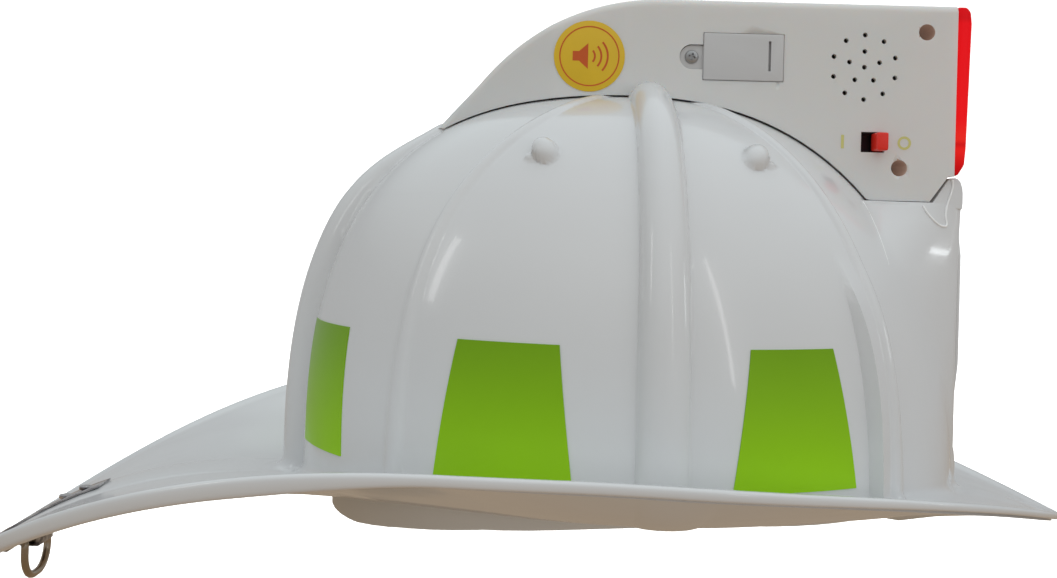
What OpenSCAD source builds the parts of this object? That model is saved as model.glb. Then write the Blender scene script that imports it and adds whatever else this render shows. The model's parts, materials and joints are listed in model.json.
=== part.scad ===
// Child's firefighter helmet with a siren and light module on its crown.
// +X points to the wearer's front, +Y to the wearer's left and +Z up.
// The origin is the centre of the headband's opening, level with the rim at the ears.

/* [Dome] */
// Reach of the dome in front of the crown axis
dome_front = 100; // [97:1:102]
// Reach of the dome behind the crown axis
dome_rear = 104.5; // [102:0.5:107]
// Half of the dome's width
dome_half_width = 85; // [83:1:88]
// Height of the crown above the origin
dome_height = 121.5; // [120:0.5:123]
// Wall thickness of the moulding
wall = 2.2; // [1.8:0.1:2.6]

/* [Brim] */
// Reach of the brim's tip behind the crown axis
brim_rear = 201; // [196:1:206]
// Reach of the brim's tip in front of the crown axis
brim_front = 138.5; // [135:0.5:142]
// Half of the brim's width
brim_half_width = 118; // [114:1:122]
// Height of the turned-up edge beside the ears
brim_side_height = 22.3; // [18:0.1:26]
// How far the rear tip hangs below the side edges
brim_rear_drop = 46.3; // [42:0.1:50]
// How far the front tip hangs below the side edges
brim_front_drop = 31.3; // [28:0.1:34]

/* [Light and siren module] */
// Half of the module's thickness
module_half = 18; // [17:0.5:20]
// Height of the module's flat top
module_top = 151.5; // [150:0.5:153]
// Wall thickness of the module's two halves
module_wall = 1.8; // [1.5:0.1:2]
// Travel of the switch knob from OFF to ON
switch_travel = 3.3; // [2.5:0.1:3.4]

/* [Headband] */
// Half of the headband's width
band_half_width = 70; // [66:1:72]
// Reach of the headband in front of the origin
band_front = 88; // [84:1:90]
// Reach of the headband behind the origin
band_rear = 97; // [88:1:98]
// Size adjustment of the nape strap
band_travel = 12; // [8:1:14]

/* [Hanging ring] */
// Distance between the two legs of the ring, centre to centre
ring_width = 18; // [14:1:20]
// Radius of the ring's wire
ring_wire = 1.2; // [1:0.1:1.4]

/* [Hidden] */
$fn = 48;

// Dome and ribs
root_lift = 8;
root_fillet = 4;
rib_round = 0.6;
lateral_rib = [90, 7.2, 5.5];
rear_rib = [180, 8.5, 7.5];
front_diagonal_rib = [43.5, 4.2, 1.5];
rear_diagonal_rib = [138, 4.2, 1.5];
rear_rib_start = 65;
rib_run_in = 5;

// Front pylon
pylon_front = 100.6;
pylon_nose_half = 14;
pylon_base_x = 74;
pylon_top = 89.4;
pylon_blend = 3;
foot_front = 103.2;
foot_height = 14;

// Brim edge
bead = 1.6;
side_bead_drop = 2.2;
rear_bead_extra = 2;
front_bead_less = 0.8;
rear_swell = 12;

// Module outline
arc_radius = 73;
arc_x = 6;
arc_sweep = 51;
tail_end = -64;
tail_half = 9;
tail_crease = -28.6;
module_front = 97;
chin_rear_x = 71.5;
floor_end = 74;
chin_x = 89.5;
chin_z = 90.2;
jaw_x = 95.2;
jaw_z = 98.2;
seat_gap = 0.35;
floor_wall = 1.6;
lens_depth = 4.5;

// Places on the module's side
door = [18.2, 126.4, 43.3, 141.2];
screw_tab = [14.8, 133.6];
tab_radius = 3.7;
speaker_at = [68.3, 131.7];
switch_window = [67.8, 105.4, 75.1, 111.7];
housing_screw_places = [[87.4, 143], [79.8, 100.7], [-17, 133]];
mounting_screw_places = [[-30, 9], [-30, -9], [50, 9], [50, -9]];
sticker_at = [-17, 132.9];
plate_in = module_half - module_wall;

// Brim tip hardware
ring_bar_x = -191.5;
ring_bar_z = -24.6;
ring_depth = 13.4 - ring_wire;
clip_half = 6;
clip_sheet = 0.8;

function smooth(t) = let (s = min(1, max(0, t))) s * s * (3 - 2 * s);
function blend_max(a, b, k) = let (h = max(0, k - abs(a - b)) / k) max(a, b) + h * h * k / 4;

// Horizontal radius of the plain dome at azimuth a and height z, drawn in by inset.
function plan_radius(a, inset) =
    let (reach = (cos(a) > 0 ? dome_front : dome_rear) - inset, side = dome_half_width - inset)
    1 / sqrt(pow(cos(a) / reach, 2) + pow(sin(a) / side, 2));
function fullness(a) = 2.5 - 0.25 * cos(a);
function dome_radius(a, z, inset) =
    let (n = fullness(a), f = min(1, max(0, z) / (dome_height - inset)))
    plan_radius(a, inset) * pow(max(0, 1 - pow(f, n)), 1 / n);

// Outward direction of the plain dome in the upright plane at azimuth a: [outward, up].
function dome_normal(a, z) =
    let (
        n = fullness(a),
        f = min(1, max(0, z) / dome_height),
        out = pow(max(0, 1 - pow(f, n)), (n - 1) / n) / plan_radius(a, 0),
        up = pow(f, n - 1) / dome_height
    )
    [out, up] / norm([out, up]);

// Height of the plain dome over a point of the plan.
function dome_over(x, y) =
    let (a = atan2(abs(y), x), n = fullness(a), q = norm([x, y]) / plan_radius(a, 0))
    dome_height * pow(max(0, 1 - pow(q, n)), 1 / n);

function root_height(a) = root_lift * (1 - pow(cos(a), 6));

// Ribs, as an outward lift of the dome. Azimuths run from 0 at the front to 180 at the rear.
function bump(d, w, h) = abs(d) < w ? h * pow(1 - pow(d / w, 2), rib_round) : 0;
function rib(a, r, place, shape, run) =
    abs(a - place) < 50 ? bump(r * sin(a - place), shape[1], shape[2]) * smooth(run / rib_run_in) : 0;
function drift(z) = pow(max(0, z) / dome_height, 6);
function rib_lift(a, z, r) =
    let (side_run = r * sin(a) - module_half - 0.3)
    rib(a, r, lateral_rib[0], lateral_rib, side_run) * (0.65 + 0.35 * smooth(z / 60))
    + rib(a, r, rear_rib[0], rear_rib, r - rear_rib_start) * (0.35 + 0.65 * smooth((r - rear_rib_start) / 28))
    + rib(a, r, front_diagonal_rib[0] + 4 * drift(z), front_diagonal_rib, side_run)
    + rib(a, r, rear_diagonal_rib[0] - 16 * drift(z), rear_diagonal_rib, side_run);

// Front pylon: a flat nose, two side walls that spread towards the brim, and a rounded foot.
function pylon_spread(z) = 24 + 29 * (1 - pow(min(1, max(0, z) / pylon_top), 3));
function pylon_radius(a, z, inset) =
    let (
        nose = pylon_front - inset,
        half = pylon_nose_half - inset,
        foot = z < foot_height ? (foot_front - pylon_front) * pow(1 - pow(z / foot_height, 2), 0.5) : 0,
        dx = pylon_base_x - inset - nose,
        dy = pylon_spread(z) - inset - half,
        wall_reach = (nose * dy - half * dx) / (cos(a) * dy - sin(a) * dx)
    )
    min((nose + foot) / cos(a), wall_reach);
function has_pylon(a, z, inset) = a < 50 && z < pylon_top - inset;

// Point of the outside as [radius, height], with the ribs raised square to the dome.
function outside(a, z) =
    let (
        r = dome_radius(a, z, 0),
        up = (z - root_height(a)) / root_fillet,
        flare = up < 1 ? root_fillet * (1 - sqrt(1 - pow(1 - max(0, up), 2))) : 0,
        body = has_pylon(a, z, 0) ? blend_max(r, pylon_radius(a, z, 0), pylon_blend) : r,
        lift = has_pylon(a, z, 0) && a < 30 ? 0 : rib_lift(a, z, r)
    )
    [body + flare, z] + lift * dome_normal(a, z);
function inner_radius(a, z) =
    let (r = dome_radius(a, z, wall))
    has_pylon(a, z, wall) ? max(r, pylon_radius(a, z, wall)) : r;

// Brim: the plan of its edge, the height of its edge, and its section between root and edge.
// The edge is where this measure of the plan comes to 1: a blunt oval behind, a prow in front.
function edge_measure(a, r) =
    let (ahead = cos(a) > 0, x = abs(r * cos(a)), y = abs(r * sin(a)))
    pow(x / (ahead ? brim_front : brim_rear), ahead ? 2 : 2.3)
    + pow(y / brim_half_width, ahead ? 1.12 : 2.3);
function bisect(a, low, high, steps) =
    let (mid = (low + high) / 2)
    steps == 0 ? mid
    : edge_measure(a, mid) > 1 ? bisect(a, low, mid, steps - 1) : bisect(a, mid, high, steps - 1);
function edge_radius(a) = bisect(a, 50, 250, 22);
function edge_height(x) =
    let (ahead = x > -50)
    brim_side_height - (ahead ? brim_front_drop : brim_rear_drop)
    * pow(abs(x + 50) / (ahead ? brim_front + 50 : brim_rear - 50), ahead ? 2.85 : 2.35);
function brim_power(a) =
    1.5 - 0.5 * smooth(abs(cos(a)) / 0.5) + (cos(a) > 0 ? 0.3 : 1.5) * smooth((abs(cos(a)) - 0.8) / 0.2);
function brim_swell(a, t) = rear_swell * smooth((a - 100) / 45) * smooth((174 - a) / 22) * t * (1 - t);
function brim_height(a, t) =
    let (low = root_height(a))
    low + (edge_height(edge_radius(a) * cos(a)) - low) * pow(t, brim_power(a)) + brim_swell(a, t);
function brim_radius(a, t) =
    let (root = outside(a, root_height(a))[0]) root + (edge_radius(a) - root) * t;

// Closed section of the moulding at azimuth a: down the outside, round the edge, up the inside.
dome_steps = 14;
function dome_level(k) = pow(sin(90 * k / dome_steps), 0.8);
shelf = pylon_top / dome_height;
inner_shelf = (pylon_top - wall) / (dome_height - wall);
rib_end_level = (dome_over(0, module_half + 0.3) - root_lift) / (dome_height - root_lift);
rear_end_level = dome_over(-rear_rib_start, 0) / dome_height;
outer_levels = concat(
    [dome_level(13), rib_end_level], [for (k = [12:-1:10]) dome_level(k)],
    [rear_end_level], [for (k = [9:-1:7]) dome_level(k)], [shelf + 0.002, shelf - 0.002],
    [for (k = [6:-1:1]) dome_level(k)], [0.1, 0.05, 0.03, 0.016, 0.006, 0]
);
inner_levels = concat(
    [0.02], [for (k = [1:2:5]) dome_level(k)], [inner_shelf - 0.002, inner_shelf + 0.002],
    [for (k = [7:2:dome_steps - 1]) dome_level(k)]
);
brim_steps = [0.12, 0.3, 0.5, 0.7, 0.88, 1];
under_steps = [0.93, 0.6, 0.3, 0.02];
function outer_point(a, f) = outside(a, root_height(a) + (dome_height - root_height(a)) * f);
function inner_point(a, f) =
    let (low = root_height(a) - wall, z = low + (dome_height - wall - low) * f)
    [inner_radius(a, z), z];
function bead_drop(a) =
    side_bead_drop + rear_bead_extra * smooth((-cos(a) - 0.42) / 0.28) - front_bead_less * smooth(cos(a) / 0.9);
function section(a) = concat(
    [for (f = outer_levels) outer_point(a, f)],
    [for (t = brim_steps) [brim_radius(a, t), brim_height(a, t)]],
    [
        [edge_radius(a) + bead * 0.8, brim_height(a, 1) - bead * 0.5],
        [edge_radius(a) + bead, brim_height(a, 1) - bead_drop(a) * 0.6],
        [edge_radius(a) + bead * 0.3, brim_height(a, 1) - bead_drop(a)],
        [edge_radius(a) - bead, brim_height(a, 1) - bead_drop(a)]
    ],
    [for (t = under_steps) [brim_radius(a, t), brim_height(a, t) - wall]],
    [for (f = inner_levels) inner_point(a, f)]
);
half_turn = concat([for (i = [0:13]) 1.5 * i], [for (i = [0:53]) 21 + 3 * i]);
azimuths = concat(half_turn, [for (i = [len(half_turn) - 2:-1:1]) -half_turn[i]]);

module shell() {
    rings = len(section(0));
    columns = len(azimuths);
    sections = [for (a = half_turn) section(a)];
    function at(j) = sections[j < len(half_turn) ? j : columns - j];
    points = concat(
        [[0, 0, dome_height]],
        [for (i = [0:rings - 1]) for (j = [0:columns - 1])
            let (p = at(j)[i]) [p[0] * cos(azimuths[j]), p[0] * sin(azimuths[j]), p[1]]],
        [[0, 0, dome_height - wall]]
    );
    last = len(points) - 1;
    function id(i, j) = 1 + i * columns + j % columns;
    faces = concat(
        [for (j = [0:columns - 1]) [0, id(0, j + 1), id(0, j)]],
        [for (i = [0:rings - 2]) for (j = [0:columns - 1]) [id(i, j), id(i, j + 1), id(i + 1, j + 1)]],
        [for (i = [0:rings - 2]) for (j = [0:columns - 1]) [id(i, j), id(i + 1, j + 1), id(i + 1, j)]],
        [for (j = [0:columns - 1]) [last, id(rings - 1, j), id(rings - 1, j + 1)]]
    );
    color("white") polyhedron(points = points, faces = faces);
}

// Blank shield plate on the pylon's nose, and the cap that holds its top.
module front_shield() {
    color("gainsboro")
    translate([pylon_front, 0, 0]) rotate([90, 0, 90]) linear_extrude(1.2)
    polygon([
        [-10.5, 80], [10.5, 80], [12.5, 74], [12.5, 40], [9, 26], [0, 16],
        [-9, 26], [-12.5, 40], [-12.5, 74]
    ]);
}

module shield_cap() {
    color("white")
    rotate([90, 0, 0]) translate([0, 0, -pylon_nose_half]) linear_extrude(2 * pylon_nose_half)
    polygon([
        [chin_x + 0.6, pylon_top + 0.1], [pylon_front + 1, pylon_top + 0.1],
        [pylon_front + 1, 95.5], [pylon_front - 1.6, jaw_z - 0.7],
        [jaw_x + 0.8, jaw_z - 0.7]
    ]);
}

// Reflective patch on the dome between two azimuths at its bottom and two at its top.
patch_low = 13;
patch_high = 49.5;
patch_in = 0.25;
patch_out = 0.35;
function patch_point(a, z, lift, side) =
    let (r = dome_radius(a, z, 0) + lift) [r * cos(a), side * r * sin(a), z];
module patch(low, high, side) {
    columns = 6;
    rows = 4;
    function spot(i, j, lift) =
        let (f = i / rows, g = j / columns, z = patch_low + (patch_high - patch_low) * f)
        patch_point(
            (low[0] + (low[1] - low[0]) * g) * (1 - f) + (high[0] + (high[1] - high[0]) * g) * f,
            z, lift, side
        );
    points = concat(
        [for (i = [0:rows]) for (j = [0:columns]) spot(i, j, patch_out)],
        [for (i = [0:rows]) for (j = [0:columns]) spot(i, j, -patch_in)]
    );
    sheet = (rows + 1) * (columns + 1);
    function id(i, j) = i * (columns + 1) + j;
    rim = concat(
        [for (j = [0:columns - 1]) id(0, j)], [for (i = [0:rows - 1]) id(i, columns)],
        [for (j = [columns:-1:1]) id(rows, j)], [for (i = [rows:-1:1]) id(i, 0)]
    );
    outside = [for (i = [0:rows - 1]) for (j = [0:columns - 1]) each [
        [id(i, j), id(i, j + 1), id(i + 1, j + 1)], [id(i, j), id(i + 1, j + 1), id(i + 1, j)]]];
    inside = [for (f = outside) [f[2] + sheet, f[1] + sheet, f[0] + sheet]];
    edges = [for (k = [0:len(rim) - 1])
        let (p = rim[k], q = rim[(k + 1) % len(rim)])
        each [[q, p, p + sheet], [q, p + sheet, q + sheet]]];
    faces = concat(outside, inside, edges);
    facing = side < 0 ? faces : [for (f = faces) [f[2], f[1], f[0]]];
    color("yellowgreen") polyhedron(points = points, faces = facing);
}
rear_patch = [[151, 168], [152.5, 171]];
side_rear_patch = [[104.8, 129.6], [108.2, 127]];
side_front_patch = [[53.2, 77.2], [56.2, 73.3]];

// Module outline in the XZ plane. The inset draws it in by a wall, and y picks the dome's section.
function arc_points(inset) = [for (t = [0:3:arc_sweep])
    [arc_x - (arc_radius - inset) * sin(t), module_top - arc_radius + (arc_radius - inset) * cos(t)]];
function wall_inside(x) =
    let (f = (x - tail_end) / (tail_crease - tail_end))
    min(1, f) * (module_half - tail_half) + tail_half - module_wall;
function seat(x, y, lift) = [x, dome_over(x, min(y, wall_inside(x))) + lift];
function module_outline(inset, y, lift) =
    let (slope = arc_sweep, tail = tail_end + inset * 1.6)
    concat(
        [[module_front - inset, module_top - inset]],
        arc_points(inset),
        [[tail, seat(tail, 0, 1)[1] + lift]],
        [for (x = [tail + 2:4:chin_rear_x - 1]) seat(x, y, lift)],
        [
            [chin_rear_x + inset, chin_z + lift],
            [chin_x + inset * 0.4, chin_z + lift],
            [jaw_x + inset * 0.6, jaw_z + lift],
            [module_front - inset, jaw_z + lift]
        ]
    );
function plan_outline(inset) = [
    [tail_end - 1, tail_half - inset], [tail_crease, module_half - inset],
    [module_front + 1, module_half - inset], [module_front + 1, inset - module_half],
    [tail_crease, inset - module_half], [tail_end - 1, inset - tail_half]
];
module side_prism(points, half) {
    rotate([90, 0, 0]) translate([0, 0, -half]) linear_extrude(2 * half) polygon(points);
}
module plan_prism(inset) {
    translate([0, 0, 60]) linear_extrude(120) polygon(plan_outline(inset));
}
module under_floor() {
    intersection() {
        side_prism(concat(
            [for (x = [tail_end - 2:4:floor_end]) seat(x, 0, seat_gap)],
            [[floor_end, 60], [tail_end - 2, 60]]
        ), plate_in);
        plan_prism(module_wall);
    }
}
// The plain half shell: +1 for the left half and -1 for the right half.
module half_shell(side) {
    intersection() {
        difference() {
            intersection() {
                side_prism(module_outline(0, plate_in, seat_gap), module_half);
                plan_prism(0);
            }
            intersection() {
                side_prism(module_outline(module_wall, 0, seat_gap + floor_wall), plate_in);
                plan_prism(module_wall);
            }
            under_floor();
        }
        translate([-80, side > 0 ? 0 : -40, 60]) cube([200, 40, 120]);
    }
}
// A round bar along Y between two distances from the middle plane.
module bar_y(at, r, from, to) {
    translate([at[0], from, at[1]]) rotate([-90, 0, 0]) cylinder(r = r, h = to - from);
}
module lamp_window() {
    translate([module_front - 3, -13, jaw_z + 6]) cube([6, 26, 44]);
}
module speaker_holes() {
    hole = 0.75;
    inner_ring = 4.9;
    outer_ring = 10;
    for (k = [0:4])
        bar_y(speaker_at + inner_ring * [sin(72 * k), cos(72 * k)], hole, -30, -plate_in + 1);
    for (k = [0:9])
        bar_y(speaker_at + outer_ring * [sin(36 * k), cos(36 * k)], hole, -30, -plate_in + 1);
    bar_y(speaker_at, hole, -30, -plate_in + 1);
}
module window(box, y0, y1) {
    translate([box[0], y0, box[1]]) cube([box[2] - box[0], y1 - y0, box[3] - box[1]]);
}
bay = [17.4, 127.2, 44.2, 140.6];
bay_wall = 1;
bay_depth = 12.8;
module cell_bay() {
    outer = [bay[0] - bay_wall, bay[1] - bay_wall, bay[2] + bay_wall, bay[3] + bay_wall];
    difference() {
        window(outer, -plate_in - 0.2, -plate_in + bay_depth + bay_wall);
        window(bay, -plate_in - 1, -plate_in + bay_depth);
    }
}
module mounting_boss(place) {
    translate([place[0], place[1], dome_over(place[0], 0) + 1]) cylinder(r = 2.9, h = 9);
}
module mounting_bore(place) {
    translate([place[0], place[1], 90]) cylinder(r = 1.3, h = dome_over(place[0], 0) - 83);
}
module module_half_right() {
    color("white")
    difference() {
        union() {
            half_shell(-1);
            cell_bay();
            for (p = housing_screw_places) bar_y(p, 3.9, -plate_in - 0.2, 0);
            bar_y(screw_tab, 2.6, -plate_in - 0.2, -8.4);
            for (p = mounting_screw_places) if (p[1] < 0) mounting_boss(p);
        }
        window(door, -30, -plate_in);
        bar_y(screw_tab, tab_radius + 0.15, -30, -plate_in);
        translate([screw_tab[0], -30, screw_tab[1] - tab_radius - 0.15])
            cube([door[0] - screw_tab[0] + 1, 30 - plate_in, 2 * tab_radius + 0.3]);
        bar_y(screw_tab, 0.95, -30, -9.4);
        window(switch_window, -30, -plate_in + 1);
        speaker_holes();
        lamp_window();
        for (p = housing_screw_places) bar_y(p, 2.5, -30, -3.2);
        for (p = housing_screw_places) bar_y(p, 1.35, -30, 1);
        for (p = mounting_screw_places) if (p[1] < 0) mounting_bore(p);
    }
}
board = [-4, 125.5, 36, 144.5];
board_y = 8;
module module_half_left() {
    color("white")
    difference() {
        union() {
            half_shell(1);
            for (p = housing_screw_places) bar_y(p, 3.2, 0, plate_in + 0.2);
            for (p = [[0, 130], [32, 142]]) bar_y(p, 1.8, board_y + 1.2, plate_in + 0.2);
            for (p = mounting_screw_places) if (p[1] > 0) mounting_boss(p);
        }
        lamp_window();
        for (p = housing_screw_places) bar_y(p, 1, -1, plate_in - 2);
        for (p = mounting_screw_places) if (p[1] > 0) mounting_bore(p);
    }
}

// Red lens that closes the module's front.
function lens_outline(inset) =
    let (back = module_front + 0.05, face = back + lens_depth - inset)
    [
        [back, module_top - 0.3 - inset], [face - 1.6, module_top - 0.3 - inset],
        [face - 0.4, module_top - 1.8 - inset], [face, module_top - 5], [face - 0.9, jaw_z + 9],
        [face - 1.3, jaw_z + 4 + inset], [face - 3.2, jaw_z + 0.8 + inset], [back, jaw_z + 0.5 + inset]
    ];
module lens() {
    color("red")
    difference() {
        side_prism(lens_outline(0), module_half - 0.4);
        side_prism(concat(
            [[module_front - 1, module_top - 1.8]],
            [for (p = lens_outline(1.5)) p],
            [[module_front - 1, jaw_z + 2]]
        ), module_half - 1.9);
    }
}

// Battery door with its screw tab, and the captive screw.
door_gap = 0.15;
door_sheet = 1.6;
screw_head = 2.1;
screw_sink = 1.1;
module battery_door() {
    outside = -module_half;
    color("white")
    difference() {
        union() {
            window([door[0] + door_gap, door[1] + door_gap, door[2] - door_gap, door[3] - door_gap],
                outside, outside + door_sheet);
            bar_y(screw_tab, tab_radius, outside, outside + door_sheet);
            window([screw_tab[0], screw_tab[1] - tab_radius, door[0] + 1, screw_tab[1] + tab_radius],
                outside, outside + door_sheet);
        }
        bar_y(screw_tab, 1.2, outside - 1, outside + 3);
        bar_y(screw_tab, screw_head + 0.15, outside - 1, outside + screw_sink);
        window([38.4, 129.6, 39.2, 138.9], outside - 1, outside + 0.8);
    }
}
module door_screw() {
    head_y = -module_half + screw_sink;
    color("silver")
    difference() {
        union() {
            bar_y(screw_tab, screw_head, head_y - 1, head_y - 0.02);
            bar_y(screw_tab, 0.85, head_y - 0.5, -9.8);
        }
        translate([screw_tab[0] - 1.4, head_y - 2, screw_tab[1] - 0.25]) cube([2.8, 1.6, 0.5]);
        translate([screw_tab[0] - 0.25, head_y - 2, screw_tab[1] - 1.4]) cube([0.5, 1.6, 2.8]);
    }
}

// Three button cells in a row along X, their contacts and the spring.
cell_radius = 5.8;
cell_length = 5.4;
cell_y = -plate_in + 6.4;
cell_z = 133.9;
cells_from = 19;
module bar_x(r, from, to) {
    translate([from, cell_y, cell_z]) rotate([0, 90, 0]) cylinder(r = r, h = to - from);
}
module button_cells() {
    color("silver") for (k = [0:2]) {
        start = cells_from + cell_length * k;
        bar_x(cell_radius, start + 0.05, start + cell_length - 0.6);
        bar_x(cell_radius - 0.9, start + cell_length - 0.7, start + cell_length - 0.05);
    }
}
module contact_plates() {
    color("goldenrod") {
        translate([bay[0] + 0.1, cell_y - 4, cell_z - 4]) cube([0.4, 8, 8]);
        translate([bay[2] - 0.5, cell_y - 4, cell_z - 4]) cube([0.4, 8, 8]);
    }
}
module contact_spring() {
    from = cells_from + 3 * cell_length + 0.1;
    to = bay[2] - 0.6;
    turns = 4;
    pitch = (to - from) / turns;
    color("silver") for (k = [0:turns - 1])
        translate([from + pitch * (k + 0.5), cell_y, cell_z]) rotate([0, 90, 0])
            rotate_extrude() translate([4.2 - 0.5 * k, 0]) circle(r = 0.4);
}

// Speaker
speaker_radius = 13.4;
module speaker_frame() {
    color("dimgray")
    difference() {
        bar_y(speaker_at, speaker_radius, -plate_in + 0.1, -plate_in + 3.4);
        bar_y(speaker_at, speaker_radius - 1.4, -plate_in, -plate_in + 2.4);
    }
}
module speaker_magnet() {
    color("gray") bar_y(speaker_at, 6.5, -plate_in + 3.45, -plate_in + 7.6);
}
module speaker_cone() {
    color("black") {
        bar_y(speaker_at, speaker_radius - 1.6, -plate_in + 1.6, -plate_in + 1.9);
        bar_y(speaker_at, 4, -plate_in + 1.1, -plate_in + 1.6);
    }
}

// Electronics
module circuit_board() {
    color("green") window(board, board_y, board_y + 1.1);
}
module sound_chip() {
    color("black") {
        bar_y([10, 137], 4.5, board_y - 1, board_y);
        bar_y([10, 137], 3.2, board_y - 1.6, board_y - 1);
    }
}
led_x = 86.8;
led_levels = [114, 130];
module led_board() {
    color("green") translate([led_x - 1.4, -7, 107]) cube([1.2, 14, 30]);
}
module leds() {
    color("mistyrose") for (z = led_levels) translate([led_x - 0.15, 0, z]) {
        rotate([0, 90, 0]) cylinder(r = 2.9, h = 1);
        rotate([0, 90, 0]) cylinder(r = 2.5, h = 6);
        translate([6, 0, 0]) sphere(r = 2.5);
    }
}
module switch_body() {
    color("silver")
    difference() {
        window([65.2, 105.1, 77.7, 112], -plate_in + 0.1, -plate_in + 5);
        window([67.6, 106, 75.3, 111.1], -plate_in - 1, -plate_in + 1.4);
    }
}
knob_width = 3.6;
module switch_knob() {
    rest_x = switch_window[2] - knob_width - 0.15;
    color("red") {
        translate([rest_x, -module_half - 5, switch_window[1] + 0.4])
            cube([knob_width, 5 + module_wall, switch_window[3] - switch_window[1] - 0.8]);
        translate([rest_x + 0.8, -plate_in - 0.1, 107]) cube([2, 1.2, 3]);
    }
}

// Screws that join the halves, and screws that hold the module to the dome from inside.
module housing_screws() {
    color("silver") for (p = housing_screw_places) {
        bar_y(p, 2.2, -4.8, -3.25);
        bar_y(p, 1.15, -3.3, 9);
    }
}
module mounting_screws() {
    color("silver") for (p = mounting_screw_places) {
        under = dome_over(p[0], p[1]) - wall;
        translate([p[0], p[1], under - 3.4]) cylinder(r = 3.2, h = 1.6);
        translate([p[0], p[1], under - 1.9]) cylinder(r = 1.5, h = 9.5);
    }
}
module round_sticker() {
    color("gold") bar_y(sticker_at, 11, -module_half - 0.25, -module_half - 0.02);
}

// Pairs of leads between the battery, the board, the speaker and the lamps.
lead_radius = 0.55;
lead_sides = 8;
battery_route = [[30, -1.6, 142.6], [30, 0.5, 145], [27, 4, 146.5], [24, 6.5, 145.8], [22, 7.4, 144.5]];
speaker_route = [[60, -9.5, 138], [56, -6, 141], [50, -1, 143], [43, 4, 143], [37, 6.6, 141], [34, 7.4, 139]];
led_route = [[84.8, 2, 118], [81, 4, 117], [74, 6.5, 119], [62, 7.5, 123], [48, 7.6, 126], [40, 7, 128], [34, 7.4, 129]];
module tube(route, shift, r) {
    count = len(route);
    function along(i) =
        let (d = route[min(count - 1, i + 1)] - route[max(0, i - 1)]) d / norm(d);
    function across(i) = let (c = cross(along(i), [0, 0.2, 1])) c / norm(c);
    points = [for (i = [0:count - 1]) for (k = [0:lead_sides - 1])
        let (n = across(i), m = cross(along(i), n), t = 360 * k / lead_sides)
        route[i] + shift * n + r * (cos(t) * n + sin(t) * m)];
    function id(i, k) = i * lead_sides + k % lead_sides;
    walls = [for (i = [0:count - 2]) for (k = [0:lead_sides - 1]) each [
        [id(i, k), id(i, k + 1), id(i + 1, k + 1)], [id(i, k), id(i + 1, k + 1), id(i + 1, k)]]];
    ends = [
        [for (k = [lead_sides - 1:-1:0]) id(0, k)], [for (k = [0:lead_sides - 1]) id(count - 1, k)]];
    polyhedron(points = points, faces = concat(walls, ends));
}
module leads(route) {
    color("red") tube(route, lead_radius + 0.1, lead_radius);
    color("black") tube(route, -lead_radius - 0.1, lead_radius);
}

// Headband: an oval with straight sides, drawn in by inset.
straight = 25;
band_sheet = 1.5;
band_gap = 0.35;
function band_oval(inset) = concat(
    [for (t = [-90:6:90])
        [straight + (band_front - straight - inset) * cos(t), (band_half_width - inset) * sin(t)]],
    [for (t = [90:6:270])
        [-straight + (band_rear - straight - inset) * cos(t), (band_half_width - inset) * sin(t)]]
);
module band_ring(inset, sheet, from, to) {
    translate([0, 0, from]) linear_extrude(to - from) difference() {
        polygon(band_oval(inset));
        polygon(band_oval(inset + sheet));
    }
}
module headband_front() {
    color("whitesmoke")
    intersection() {
        band_ring(0, band_sheet, 1.5, 28);
        translate([-22, -100, 0]) cube([200, 200, 40]);
    }
}
nape_edge = [
    [16, 1], [-24, -1.2], [-45, -2.4], [-68, -5.4], [-83, -8], [-99, -8.8],
    [-99, 6], [-83, 9], [-60, 16], [-25, 22.4], [16, 22.4]
];
module nape_strap() {
    color("whitesmoke")
    intersection() {
        band_ring(band_sheet + band_gap, band_sheet, -20, 30);
        side_prism(nape_edge, 100);
    }
}
pad_sheet = 4;
module sweat_pad() {
    color("black")
    intersection() {
        band_ring(band_sheet + 0.3, pad_sheet, 4, 23);
        translate([46, -100, 0]) cube([200, 200, 40]);
    }
}
// Each clip: where it leaves the band, the way it points and how far it reaches to the dome.
clip_places = [[57.4, 59.8, 55, 6.2], [-14, 69.9, 90, 11.6]];
module headband_clips() {
    color("white") for (side = [-1, 1]) for (p = clip_places)
        translate([p[0], side * p[1], 18]) rotate([0, 0, side * p[2]])
            translate([0, -5, 0]) cube([p[3], 10, 3]);
}

// Cradle of four legs that meet in a hub over the head.
cradle_centre = [23, 0];
cradle_top = 97;
cradle_foot = 24.6;
cradle_half = 6;
cradle_sheet = 1.2;
hub_radius = 14;
hub_low = 95;
hub_top = 97.4;
leg_start = 12;
leg_steps = 12;
function leg_rise(q) = cradle_foot + (cradle_top - cradle_foot) * pow(max(0, 1 - pow(q, 2.5)), 0.4);
module cradle_leg(foot) {
    reach = norm(foot - cradle_centre);
    turn = atan2(foot[1] - cradle_centre[1], foot[0] - cradle_centre[0]);
    from = asin(leg_start / reach);
    outer = [for (k = [0:leg_steps])
        let (q = sin(from + (90 - from) * k / leg_steps)) [reach * q, leg_rise(q)]];
    inner = [for (k = [leg_steps:-1:0])
        let (q = sin(from + (90 - from) * k / leg_steps))
        [(reach - cradle_sheet) * q, leg_rise(q) - cradle_sheet]];
    translate([cradle_centre[0], cradle_centre[1], 0]) rotate([0, 0, turn])
        rotate([90, 0, 0]) translate([0, 0, -cradle_half])
            linear_extrude(2 * cradle_half) polygon(concat(outer, inner));
}
module crown_cradle() {
    color("whitesmoke") {
        for (side = [-1, 1]) {
            cradle_leg([56, side * 58.3]);
            cradle_leg([-14, side * 68.2]);
        }
        translate([cradle_centre[0], cradle_centre[1], hub_low])
            cylinder(r = hub_radius, h = hub_top - hub_low);
    }
}
module crown_button() {
    color("white") translate([cradle_centre[0], cradle_centre[1], hub_top])
        cylinder(r = 7, h = 2.4);
}

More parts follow.
